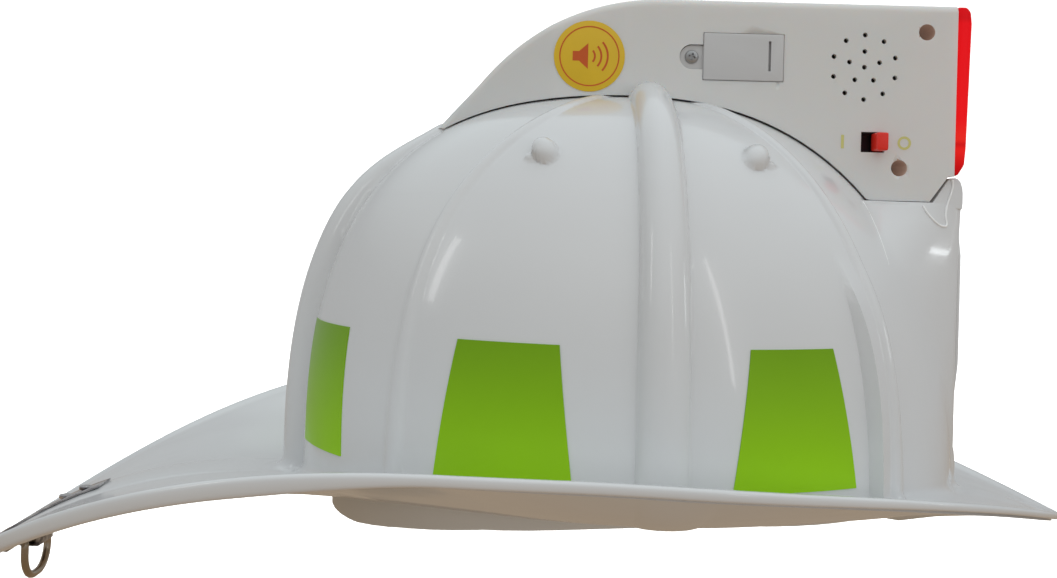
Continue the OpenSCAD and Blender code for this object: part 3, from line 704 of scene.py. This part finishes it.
def nub(x, z, at_x, at_z, lean):
    """A rounded stud with a small drip at its outer lower side."""
    head = 1 - ((x - at_x) / 3.7) ** 2 - ((z - at_z) / 3.3) ** 2
    tail = 1 - ((x - at_x - lean * 3.9) / 2.0) ** 2 - ((z - at_z + 1.7) / 1.0) ** 2
    return 3.9 * np.sqrt(np.clip(head, 0, 1)) + 1.1 * np.sqrt(np.clip(tail, 0, 1)) * (head < 0.3)


def edge_radius(a):
    """Plan radius of the brim's edge: a blunt oval behind, a prow in front."""
    ahead = cosd(a) > 0
    low = np.full(a.shape, 50.0)
    high = np.full(a.shape, 250.0)
    for _ in range(40):
        middle = (low + high) / 2
        x = np.abs(middle * cosd(a))
        y = np.abs(middle * sind(a))
        y_round = y * y / (y + 1.5) * (BRIM_HALF + 1.5) / BRIM_HALF
        front = (x / BRIM_FRONT) ** 2 + (y_round / BRIM_HALF) ** 1.12
        rear = (x / BRIM_REAR) ** 2.3 + (y / BRIM_HALF) ** 2.3
        out = np.where(ahead, front, rear) > 1
        high = np.where(out, middle, high)
        low = np.where(out, low, middle)
    return (low + high) / 2


def edge_height(x):
    """The edge is highest at the crest and falls away ahead of it and behind it."""
    ahead = EDGE_FRONT_DROP * (np.clip(x - CREST_X, 0, None) / (BRIM_FRONT - CREST_X)) ** 2.85
    behind = EDGE_REAR_DROP * (np.clip(CREST_X - x, 0, None) / (BRIM_REAR + CREST_X)) ** 2.35
    return EDGE_SIDE - ahead - behind


def brim_power(a):
    """How hollow the brim is from root to edge: 1 is straight."""
    level = np.abs(cosd(a))
    return 1.5 - 0.5 * smooth(level / 0.5) + np.where(cosd(a) > 0, 0.3, 1.5) * smooth((level - 0.8) / 0.2)


def brim_swell(a):
    """Extra height halfway out at the rear quarters."""
    return REAR_SWELL * smooth((a - 100) / 45) * smooth((174 - a) / 22)


def bead_drop(a):
    """How far the rolled lip reaches below the brim's edge."""
    back = -cosd(a)
    return 2.2 + 2.0 * smooth((back - 0.42) / 0.28) - 0.8 * smooth(-back / 0.9)


def shell_azimuths():
    """Azimuths from 0 to 180, closer together at the pylon, the ribs and the nubs."""
    crowded = [
        (7.6, 3.5, 2.2), (20, 1.4, 8), (44, 2.6, 5), (60, 3.4, 3.4), (90, 2.4, 7),
        (119, 3.4, 3.4), (131, 1.8, 10), (180, 2.4, 7),
    ]
    fine = np.linspace(0, 180, 7201)
    density = 0.85 + sum(k * np.exp(-(((fine - c) / w) ** 2)) for c, k, w in crowded)
    total = np.concatenate([[0], np.cumsum((density[1:] + density[:-1]) / 2 * np.diff(fine))])
    count = int(round(total[-1]))
    return np.interp(np.linspace(0, total[-1], count + 1), total, fine)


def dome_rows(step_scale=1.0):
    """Heights of the dome's rows from near the crown down to its root."""
    turn = np.linspace(88, 0, int(54 / step_scale))
    rows = DOME_TOP * np.sin(np.radians(turn)) ** 0.8
    rows = rows[rows > 16]
    foot = np.array([14, 12.5, 11, 9.5, 8, 6.6, 5.4, 4.4, 3.4, 2.6, 1.9, 1.3, 0.8, 0.35, 0])
    studs = np.arange(96.0, 105.5, 0.55)
    ledge = PYLON_TOP - np.array([-0.02, 0.0, 0.06, 0.2, 0.45, 0.8, 1.2, 1.6])
    if step_scale > 1:
        return np.unique(np.concatenate([rows, foot[::3], [PYLON_TOP - WALL, PYLON_TOP - WALL + 0.02]]))[::-1]
    rows = rows[(rows < 95.6) | (rows > 105.6)]
    rows = rows[(rows < 87.4) | (rows > 90)]
    return np.unique(np.concatenate([rows, foot, studs, ledge]))[::-1]


def shell_section():
    """Rows of points from the crown down the outside, round the edge and up the inside."""
    half = shell_azimuths()
    a = np.concatenate([half, -half[-2:0:-1]])
    side = np.abs(a)
    root = root_height(side)
    rows = []

    def add(r, z):
        rows.append(np.stack([r * cosd(a), r * sind(a), z], axis=1))

    def dome_point(level, inset):
        z = level + root * np.clip(1 - level / 25, 0, 1)
        if inset:
            z = np.minimum(z, DOME_TOP - inset)
        r = body_radius(side, z, inset)
        lift = rib_lift(side, z, r, 0.0 if inset == 0 else 1.7)
        out, up = dome_normal(side, z)
        up_share = np.clip((z - root) / ROOT_FILLET, 0, 1)
        flare = ROOT_FILLET * (1 - np.sqrt(1 - (1 - up_share) ** 2)) if inset == 0 else 0
        return r + flare + lift * out, z + lift * up

    for level in dome_rows():
        add(*dome_point(level, 0.0))
    root_r = dome_point(0.0, 0.0)[0]
    edge = edge_radius(side)
    edge_z = edge_height(edge * cosd(side))
    power = brim_power(side)
    swell = brim_swell(side)

    # The edge curve's outward normal in plan, for the rolled lip.
    ex, ey = edge * cosd(a), edge * sind(a)
    tx = np.roll(ex, -1) - np.roll(ex, 1)
    ty = np.roll(ey, -1) - np.roll(ey, 1)
    size = np.hypot(tx, ty)
    nx, ny = ty / size, -tx / size
    facing = nx * cosd(a) + ny * sind(a)
    width = (edge - root_r) * facing

    def brim_point(t, under):
        r = root_r + (edge - root_r) * t
        z = root + (edge_z - root) * t**power + swell * t * (1 - t)
        if not under:
            inboard = width * (1 - t)
            z = z + LIP_RISE * smooth(1 - inboard / 5.0)
        return r, z - under * WALL

    def add_lip(out, z):
        rows.append(np.stack([ex + nx * out, ey + ny * out, z], axis=1))

    for t in [0.04, 0.09, 0.15, 0.22, *np.arange(0.3, 0.71, 0.08), 0.77, 0.83, 0.88, 0.92, 0.95, 0.975, 1.0]:
        add(*brim_point(t, 0))
    low = bead_drop(side)
    roll_up = (LIP_RISE + low) / 2
    squarish = 0.65
    for turn in range(75, -91, -15):
        out = BEAD * max(0.0, cosd(turn)) ** squarish
        rise = np.sign(sind(turn)) * abs(sind(turn)) ** squarish
        add_lip(out, edge_z + LIP_RISE + roll_up * (rise - 1))
    for out, share in ((-0.9, 1.0), (-1.5, 0.93), (-1.7, 0.75)):
        add_lip(out, edge_z - low * share)
    for t in [0.965, 0.93, 0.86, 0.76, 0.64, 0.5, 0.36, 0.24, 0.12, 0.04]:
        add(*brim_point(t, 1))
    for level in dome_rows(2.0)[::-1]:
        if level < DOME_TOP - WALL - 0.5:
            add(*dome_point(level, WALL))
    return a, rows


def make_shell():
    azimuths, rows = shell_section()
    columns = len(azimuths)
    points = np.concatenate([np.array([[0, 0, DOME_TOP]]), *rows, np.array([[0, 0, DOME_TOP - WALL]])])
    faces = []
    last = len(points) - 1
    bottom = 1 + (len(rows) - 1) * columns
    ring = np.arange(columns)
    following = (ring + 1) % columns
    for i in range(len(rows) - 1):
        up, down = 1 + i * columns, 1 + (i + 1) * columns
        faces += np.stack([up + ring, down + ring, down + following, up + following], axis=1).tolist()
    faces += [[0, 1 + k, 1 + j] for k, j in zip(ring, following)]
    faces += [[last, bottom + j, bottom + k] for k, j in zip(ring, following)]
    shell = solid("helmet_shell", points, faces, tidy=False)
    return stand_in(shell, "shell", sharp=60)


# ---------------------------------------------------------------- reflective patches

PATCH_LOW, PATCH_HIGH = 13.0, 49.5
PATCHES = {
    "rear": ((151, 168), (152.5, 171)),
    "side_rear": ((104.8, 129.6), (108.2, 127)),
    "side_front": ((53.2, 77.2), (56.2, 73.3)),
}


def make_patch(place, side_name):
    """A thin sheet that lies on the dome between two azimuths below and two above."""
    low, high = PATCHES[place]
    sign = -1 if side_name == "right" else 1
    rows, columns = 20, 16
    f, g = np.meshgrid(np.linspace(0, 1, rows + 1), np.linspace(0, 1, columns + 1), indexing="ij")
    a = (low[0] + (low[1] - low[0]) * g) * (1 - f) + (high[0] + (high[1] - high[0]) * g) * f
    z = PATCH_LOW + (PATCH_HIGH - PATCH_LOW) * f
    layers = []
    for lift in (0.32, -0.3):
        r = dome_radius(a, z) + lift
        layers.append(np.stack([r * cosd(a), sign * r * sind(a), z], axis=2))
    loops = np.concatenate([layers[0], layers[1][:, ::-1]], axis=1)
    faces = band_faces(rows + 1, 2 * (columns + 1))
    patch = solid(f"patch_{place}_{side_name}", loops.reshape(-1, 3), faces)
    return stand_in(patch, f"reflector_{place}_{side_name}")


# ---------------------------------------------------------------- the light and siren module

ARC_RADIUS, ARC_X, ARC_SWEEP, MODULE_TOP = 73.0, 6.0, 51.0, 151.5
TAIL_END, TAIL_HALF, TAIL_CREASE = -64.0, 9.0, -28.6
MODULE_FRONT = 97.0
TOP_ROUND = 2.3
HOUSING_SCREWS = [(87.4, 143.0), (79.8, 100.7), (-17.0, 133.0)]


def module_top_path():
    """The module's top line from front to tail with its inward normals."""
    path = [(MODULE_FRONT + 7, MODULE_TOP, 0.0, -1.0)]
    path += [(x, MODULE_TOP, 0.0, -1.0) for x in np.arange(MODULE_FRONT, ARC_X + 1, -4.0)]
    for turn in np.arange(0, ARC_SWEEP + 0.1, 1.5):
        s, c = math.sin(math.radians(turn)), math.cos(math.radians(turn))
        path.append((ARC_X - ARC_RADIUS * s, MODULE_TOP - ARC_RADIUS + ARC_RADIUS * c, s, -c))
    x0, z0, nx, nz = path[-1]
    low = dome_over(TAIL_END, 0.0) + 1.35
    slope = math.atan2(z0 - low, x0 - TAIL_END)
    for share in np.linspace(0.1, 1.6, 12):
        x = x0 + (TAIL_END - x0) * share
        path.append((x, z0 + (low - z0) * share, math.sin(slope), -math.cos(slope)))
    return path


def module_half_width(x):
    t = np.clip((x - TAIL_END) / (TAIL_CREASE - TAIL_END), 0, None)
    return np.where(x > TAIL_CREASE, MODULE_HALF, TAIL_HALF + (MODULE_HALF - TAIL_HALF) * t)


def module_form(side):
    """A half's outside with its top edge rounded and a fine chamfer at the middle seam."""
    sections = []
    for x, z, nx, nz in module_top_path():
        half = float(module_half_width(x))
        section = [(x, side * half, 60.0)]
        for turn in np.linspace(0, 90, 7):
            inward = TOP_ROUND * (1 - math.sin(math.radians(turn)))
            depth = TOP_ROUND * (1 - math.cos(math.radians(turn)))
            section.append((x + nx * inward, side * (half - depth), z + nz * inward))
        section.append((x, side * 0.35, z))
        section.append((x + nx * 0.3, side * 0.03, z + nz * 0.3))
        section.append((x, side * 0.03, 60.0))
        sections.append(section)
    points = [p for section in sections for p in section]
    return solid("module_form", points, band_faces(len(sections), len(sections[0])))


def make_module_half(side, node):
    half = node_copy(node, "module_shell_" + ("left" if side > 0 else "right"))
    boolean(half, module_form(side), "INTERSECT")
    stand_in(half, node, sharp=24)
    # The walls of the screw bores get the painted glow and painted beige tone.
    half.data.materials.append(PAINT["boss_painted_glow"])
    for face in half.data.polygons:
        for x, z in HOUSING_SCREWS:
            middle = face.center / MM
            if side < 0 and middle.y < -3 and math.hypot(middle.x - x, middle.z - z) < 2.6:
                face.material_index = 1
    return half


def make_lens():
    """Hollow red lens with rounded edges and a ledge moulded inside near each end."""
    back, face, top, low = MODULE_FRONT + 0.05, 101.55, 151.2, 98.7
    outline = [
        (back, top), (face - 1.6, top), (face - 0.4, top - 1.5), (face, top - 5), (face - 0.9, low + 8.5),
        (face - 1.3, low + 3.5), (face - 3.2, low + 0.3), (back, low),
    ]
    lens = bevel(prism("lens_body", outline, -17.6, 17.6), 1.3, 4, 20)
    inside = [(x - 1.4 if x > back else back - 1, max(low + 1.5, min(top - 1.5, z))) for x, z in outline]
    boolean(lens, bevel(prism("lens_inside", inside, -16.2, 16.2), 0.6, 2, 20), "DIFFERENCE")
    ledges = [
        prism("ledge", box_outline(back + 0.3, z, face - 1.2, z + 0.9), -16.4, 16.4) for z in (108.2, 147.4)
    ]
    boolean(lens, joined("ledges", ledges), "UNION")
    return stand_in(lens, "lens", sharp=30)


def pylon_side(x, z):
    """Distance of the pylon's side wall from the middle plane."""
    nose_share = (PYLON_FRONT - x) / (PYLON_FRONT - PYLON_BASE)
    return PYLON_NOSE + (float(pylon_spread(z)) - PYLON_NOSE) * nose_share


def make_pylon_cap():
    """The horn between the pylon's nose and the module's chin, with lips along its moulded edges in a lighter
    white that paints their highlights.
    """
    chin, jaw = (90.2, 89.7), (96.1, 97.9)
    outline = [
        (88.6, 88.4), (PYLON_FRONT - 0.2, 88.4), (PYLON_FRONT, 90.5), (PYLON_FRONT, 93.4),
        (PYLON_FRONT - 0.25, 95.3), (PYLON_FRONT - 0.9, 97.0), (PYLON_FRONT - 2.0, 98.1),
        (PYLON_FRONT - 3.2, 98.3), jaw, ((chin[0] + jaw[0]) / 2, (chin[1] + jaw[1]) / 2), chin, (88.6, 89.5),
    ]
    points = [(x, side * (pylon_side(x, z) - 0.15), z) for side in (-1, 1) for x, z in outline]
    cap = solid("pylon_horn", points, band_faces(2, len(outline)))
    lips = [bevel(cap, 0.7, 4, 28)]
    facet = [(86.8, 89.2), (88.0, 87.2), (89.6, 85.4), (91.3, 84.0), (93.0, 83.2), (94.6, 83.1), (95.1, 83.9),
             (94.8, 86.6), (95.6, 89.8), (96.9, 93.4), (97.5, 96.0), (97.1, 97.7)]
    for side in (-1, 1):
        line = smooth_route([(x, side * (pylon_side(x, z) + 0.1), z) for x, z in facet], 3)
        lips.append(swept("facet_lip", line, 0.36, 10))
        lips.append(swept("crease_lip", [(x, side * y, z) for x, y, z in pylon_crease()], 0.3, 10))
    horn_faces = len(lips[0].data.polygons)
    cap = stand_in(joined("pylon_cap", lips), "shield_cap", sharp=50)
    # The lips take the lighter white: painted highlights.
    cap.data.materials.append(PAINT["lip_painted_highlight"])
    for face in list(cap.data.polygons)[horn_faces:]:
        face.material_index = 1
    return cap


def pylon_crease():
    """The line where the pylon's side wall leaves the dome, from its top down."""
    line = []
    for z in np.linspace(PYLON_TOP - 0.6, 66.0, 14):
        a = np.linspace(8.0, 49.0, 821)
        gap = pylon_radius(a, np.full(a.shape, z)) - dome_radius(a, np.full(a.shape, z))
        at = a[np.nonzero(gap > 0)[0][-1]] if (gap > 0).any() else a[0]
        r = float(dome_radius(np.array([at]), np.array([z]))[0]) + 0.15
        line.append((r * float(cosd(at)), r * float(sind(at)), float(z)))
    return line


# ---------------------------------------------------------------- small parts on the module's side

SIDE = -18.0
DOOR = (18.35, 126.55, 43.15, 141.05)
TAB_AT, TAB_RADIUS = (14.8, 133.6), 3.7


def make_door():
    """Battery door with its lowered screw tab, a coin slot and soft edges."""
    lid = bevel(prism("battery_door_lid", box_outline(*DOOR), SIDE - 0.4, -16.4), 0.35, 3)
    round_end = arc_points(TAB_AT, TAB_RADIUS, np.linspace(0.5 * math.pi, 1.5 * math.pi, 24))
    outline = [*round_end, (DOOR[0] + 1, TAB_AT[1] - TAB_RADIUS), (DOOR[0] + 1, TAB_AT[1] + TAB_RADIUS)]
    tab = bevel(prism("tab", outline, SIDE + 0.95, -16.45), 0.2, 2)
    boolean(lid, tab, "UNION")
    cuts = [
        prism("hole", ring_points(TAB_AT, 1.2, 32), -19, -15),
        prism("sink", ring_points(TAB_AT, 2.3, 32), -19, SIDE + 1.1),
        prism("slot", box_outline(38.4, 129.6, 39.2, 138.9), -19, -16.9),
    ]
    boolean(lid, joined("cuts", cuts), "DIFFERENCE")
    return stand_in(lid, "battery_door", "door_white", sharp=30)


def screw(name, at, direction, head_radius, shank_radius, length, head=1.3):
    """A pan-head screw with a cross recess. Its head's underside is at the point; the shank runs back."""
    profile = [
        (shank_radius * 0.55, -length), (shank_radius, -length + 1.0), (shank_radius, 0),
        (head_radius * 0.94, 0), (head_radius, head * 0.2), (head_radius, head * 0.5),
        (head_radius * 0.9, head * 0.8), (head_radius * 0.66, head * 0.96), (head_radius * 0.3, head),
    ]
    body = turned(name, profile, at, direction, 40)
    direction = Vector(direction).normalized()
    side = direction.orthogonal().normalized()
    arms = []
    for turn in (28, 118):
        along = Matrix.Rotation(math.radians(turn), 3, direction) @ side
        across = direction.cross(along)
        reach, half = head_radius * 0.62, head_radius * 0.14
        corners = []
        for deep, shrink in ((head * 0.35, 0.55), (head * 1.4, 1.0)):
            for u, v in ((-1, -1), (1, -1), (1, 1), (-1, 1)):
                spot = Vector(at) + direction * deep + along * (u * reach * shrink) + across * (v * half)
                corners.append(tuple(spot))
        arms.append(solid("arm", corners, band_faces(2, 4)))
    for arm in arms:
        boolean(body, arm, "DIFFERENCE")
    return body


def make_screws():
    door_screw_at = (TAB_AT[0], SIDE + 1.1, TAB_AT[1])
    door_screw = screw("battery_door_screw", door_screw_at, (0, -1, 0), 2.1, 0.85, 6.9, 1.1)
    stand_in(door_screw, "door_screw", sharp=30)
    housing = [screw("s", (x, -3.3, z), (0, -1, 0), 2.2, 1.15, 12.0, 1.5) for x, z in HOUSING_SCREWS]
    stand_in(joined("housing_screw_set", housing), "housing_screws", sharp=30)
    mounting = []
    for x, y in ((-30, 9), (-30, -9), (50, 9), (50, -9)):
        under = float(dome_over(x, y)) - WALL
        mounting.append(screw("s", (x, y, under - 1.8), (0, 0, -1), 3.2, 1.5, 9.4, 1.6))
    stand_in(joined("mounting_screw_set", mounting), "mounting_screws", sharp=30)


def make_knob():
    low, high = (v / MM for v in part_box("switch_knob"))
    outline = box_outline(low.x, low.z, high.x, high.z)
    knob = bevel(prism("switch_slider", outline, low.y, SIDE + 1.9), 0.55, 3)
    return stand_in(knob, "switch_knob", sharp=30)


def make_marks():
    """Generic on and off marks, a bar and a ring, printed beside the switch."""
    print_y = (SIDE - 0.05, SIDE + 0.1)
    bar = prism("mark_on", box_outline(61.6, 106.4, 62.5, 110.6), *print_y)
    circle = flat_ring("mark_off", (81.2, 108.5), 2.1, 1.35, *print_y, count=40)
    for mark in (bar, circle):
        dress(mark, "mark_yellow")


STICKER_AT = (-17.0, 132.9)


def flat_ring(name, centre, outer, inner, y0, y1, start=0.0, sweep=2 * math.pi, count=64):
    """A flat ring, or part of one, that faces along Y."""
    whole = sweep == 2 * math.pi
    steps = count if whole else count + 1
    turns = [start + sweep * k / count for k in range(steps)]
    points = []
    for y in (y0, y1):
        for radius in (outer, inner):
            points += [(x, y, z) for x, z in arc_points(centre, radius, turns)]
    # The four rings run round the section: outer near, inner near, inner far, outer far.
    near_outer, near_inner, far_outer, far_inner = (n * steps for n in range(4))
    order = [near_outer, near_inner, far_inner, far_outer]
    faces = []
    for k in range(count):
        j = (k + 1) % steps
        for first, second in zip(order, order[1:] + order[:1]):
            faces.append((first + k, first + j, second + j, second + k))
    if not whole:
        for k in (0, steps - 1):
            faces.append(tuple(start_at + k for start_at in order))
    return solid(name, points, faces)


def make_sticker():
    """Round yellow label with a red ring and a plain loudspeaker symbol."""
    disc = prism("round_label", ring_points(STICKER_AT, 11.0, 72), SIDE - 0.2, SIDE - 0.02)
    stand_in(bevel(disc, 0.06, 2), "round_sticker", sharp=30)
    print_y = (SIDE - 0.24, SIDE - 0.19)
    parts = [flat_ring("ring", STICKER_AT, 9.35, 8.95, *print_y)]
    x, z = STICKER_AT
    horn = [
        (x - 5.2, z - 1.5), (x - 3.2, z - 1.5), (x - 0.4, z - 4.0), (x - 0.4, z + 4.0),
        (x - 3.2, z + 1.5), (x - 5.2, z + 1.5),
    ]
    parts.append(prism("horn", horn, *print_y))
    spread = math.radians(42)
    for radius in (2.6, 4.6, 6.6):
        wave = (radius + 0.3, radius - 0.3, *print_y, -spread, 2 * spread, 24)
        parts.append(flat_ring("wave", (x - 0.9, z), *wave))
    dress(joined("label_print", parts), "sticker_red")


# ---------------------------------------------------------------- inside the module


def make_spring():
    """Conical contact spring, compressed by the last cell."""
    low, high = (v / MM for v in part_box("contact_spring"))
    centre_y, centre_z = (low.y + high.y) / 2, (low.z + high.z) / 2
    turns, wire, steps = 4.5, 0.4, 140
    path = []
    for k in range(steps + 1):
        share = k / steps
        turn = 2 * math.pi * turns * share
        radius = 4.3 - 1.7 * share
        x = low.x + wire + (high.x - low.x - 2 * wire) * share
        path.append((x, centre_y + radius * math.cos(turn), centre_z + radius * math.sin(turn)))
    stand_in(swept("battery_spring", path, wire, 8), "contact_spring", sharp=60)


def make_speaker():
    """Basket, dished cone with a centre cap and a rolled edge, and the magnet."""
    x, z = 68.3, 131.7
    frame_profile = [
        (12.2, 0.1), (13.4, 0.1), (13.4, 2.9), (12.9, 3.4), (6.9, 3.4), (6.9, 2.6), (12.0, 2.4),
    ]
    basket = revolve_closed("speaker_basket", frame_profile, (x, -16.2, z))
    stand_in(basket, "speaker_frame", sharp=30)
    cone_profile = [
        (0.0, 1.0), (1.4, 1.05), (2.9, 1.35), (3.9, 1.85), (4.3, 2.1), (7.0, 1.75), (9.6, 1.3), (10.2, 1.1),
        (10.8, 0.95), (11.4, 1.1), (11.8, 1.4),
    ]
    under = [(r, reach + 0.22) for r, reach in reversed(cone_profile)]
    cone = revolve_closed("speaker_diaphragm", [*cone_profile, *under], (x, -16.2, z))
    stand_in(cone, "speaker_cone", sharp=50)
    pot = [(6.1, 3.45), (6.5, 3.7), (6.5, 7.2), (6.1, 7.6)]
    magnet = turned("speaker_magnet_pot", pot, (x, -16.2, z), (0, 1, 0), 40)
    stand_in(magnet, "speaker_magnet", sharp=30)


def revolve_closed(name, profile, at, count=56):
    """A ring-like solid: a closed profile of (radius, distance along +Y) points turned about Y."""
    points = []
    for radius, reach in profile:
        points += [(x, at[1] + reach, z) for x, z in ring_points((at[0], at[2]), radius, count)]
    made = solid(name, points, band_faces(len(profile), count, closed=True))
    work = bmesh.new()
    work.from_mesh(made.data)
    bmesh.ops.dissolve_degenerate(work, dist=0.001 * MM, edges=work.edges)
    bmesh.ops.recalc_face_normals(work, faces=work.faces)
    work.to_mesh(made.data)
    work.free()
    return made


LEADS = {
    "battery_wires": [(30, -1.6, 142.6), (30, 0.5, 145), (27, 4, 146.5), (24, 6.5, 145.8), (22, 7.4, 144.5)],
    "speaker_wires": [
        (60, -9.5, 138), (56, -6, 141), (50, -1, 143), (43, 4, 143), (37, 6.6, 141), (34, 7.4, 139),
    ],
    "led_wires": [
        (84.8, 2, 118), (81, 4, 117), (74, 6.5, 119), (62, 7.5, 123), (48, 7.6, 126), (40, 7, 128),
        (34, 7.4, 129),
    ],
}


def smooth_route(route, each=8):
    """Catmull-Rom points through a route."""
    route = [Vector(p) for p in route]
    ends = [2 * route[0] - route[1], *route, 2 * route[-1] - route[-2]]
    made = []
    for i in range(1, len(ends) - 2):
        p0, p1, p2, p3 = ends[i - 1 : i + 3]
        for k in range(each):
            t = k / each
            square, cube = 2 * p0 - 5 * p1 + 4 * p2 - p3, 3 * p1 - p0 - 3 * p2 + p3
            made.append(0.5 * (2 * p1 + (p2 - p0) * t + square * t**2 + cube * t**3))
    return [*made, route[-1]]


def make_leads():
    for node, route in LEADS.items():
        line = smooth_route(route)
        for colour, shift in (("red", 0.65), ("black", -0.65)):
            moved = []
            for i, spot in enumerate(line):
                along = (line[min(i + 1, len(line) - 1)] - line[max(i - 1, 0)]).normalized()
                moved.append(spot + along.cross(Vector((0, 0.2, 1))).normalized() * shift)
            lead = swept(f"{node}_{colour}", moved, 0.52, 10)
            dress(lead, "lead_" + colour, nodes=(node,), sharp=60)


# ---------------------------------------------------------------- brim tip and headband


def make_ring():
    """D-shaped wire ring that hangs from the clip's folded bar."""
    bar_x, bar_z, wire = -191.5, -24.6, 1.2
    half, depth, corner = 9.0, 12.2, 7.5
    bend_z = bar_z - depth + corner
    drops = [bar_z - (depth - corner) * k / 4 for k in range(1, 5)]
    line = [(y, bar_z) for y in np.linspace(-half, half, 9)] + [(half, z) for z in drops]
    line += arc_points((half - corner, bend_z), corner, np.linspace(0, -math.pi / 2, 9)[1:])
    line += arc_points((corner - half, bend_z), corner, np.linspace(-math.pi / 2, -math.pi, 9))
    line = [(bar_x, y, z) for y, z in [*line, *((-half, z) for z in reversed(drops))]]
    ring = swept("hang_ring", line, wire, 16, closed=True)
    return stand_in(ring, "hanging_ring", "ring_steel", sharp=70)


def make_pad():
    """Foam brow pad: a quilted strip that follows the inside of the headband's front."""
    outer, inner = 1.85, 5.75
    low, high, reach = 4.2, 22.8, 46.3
    front_x = 25.0
    t_end = math.degrees(math.acos((reach - front_x) / (88.0 - front_x - outer)))
    columns, ring = 120, 28
    points = []
    for i in range(columns + 1):
        share = i / columns
        t = -t_end + 2 * t_end * share
        close = min(1.0, min(share, 1 - share) * 18)
        puff = math.sqrt(1 - (1 - close) ** 2)
        quilt = 0.82 + 0.18 * abs(math.sin(math.pi * share * 7)) ** 0.5
        for k in range(ring):
            turn = 2 * math.pi * k / ring
            across = math.copysign(abs(math.cos(turn)) ** 0.55, math.cos(turn))
            upward = math.copysign(abs(math.sin(turn)) ** 0.4, math.sin(turn))
            half_depth = (inner - outer) / 2
            depth = outer + half_depth
            depth -= across * half_depth if across > 0 else across * half_depth * puff * quilt
            x = front_x + (88.0 - front_x - depth) * cosd(t)
            y = (70.0 - depth) * sind(t)
            z = (low + high) / 2 + upward * (high - low) / 2 * (0.8 + 0.2 * puff)
            points.append((x, y, z))
    pad = solid("brow_pad", points, band_faces(columns + 1, ring))
    stand_in(pad, "sweat_pad", sharp=60)


def make_refined():
    """CAD shapes that are right already, with their edges rounded as on moulded or pressed parts."""
    widths = {
        "front_shield": 0.45, "switch_body": 0.15, "button_cells": 0.3, "contact_plates": 0.08,
        "circuit_board": 0.12, "sound_chip": 0.5, "led_board": 0.12, "headband_clips": 0.5,
        "crown_cradle": 0.3, "crown_button": 0.9, "headband_front": 0.4, "nape_strap": 0.4,
        "tip_clip": 0.18, "tip_rivets": 0.4, "leds": 0.15,
    }
    paints = {"switch_body": "switch_dark"}
    for node, width in widths.items():
        piece = bevel(node_copy(node), width, 3, 40)
        stand_in(piece, node, paints.get(node), 32)


# ---------------------------------------------------------------- build

bpy.context.scene.view_settings.view_transform = "Standard"
make_camera()
make_sky()
make_lights(make_stage())
PAINT = make_materials()
make_shell()
for patch_side in ("right", "left"):
    for patch_place in PATCHES:
        make_patch(patch_place, patch_side)
make_module_half(-1, "module_half_right")
make_module_half(1, "module_half_left")
make_lens()
make_pylon_cap()
make_door()
make_screws()
make_knob()
make_marks()
make_sticker()
make_spring()
make_speaker()
make_leads()
make_ring()
make_pad()
make_refined()
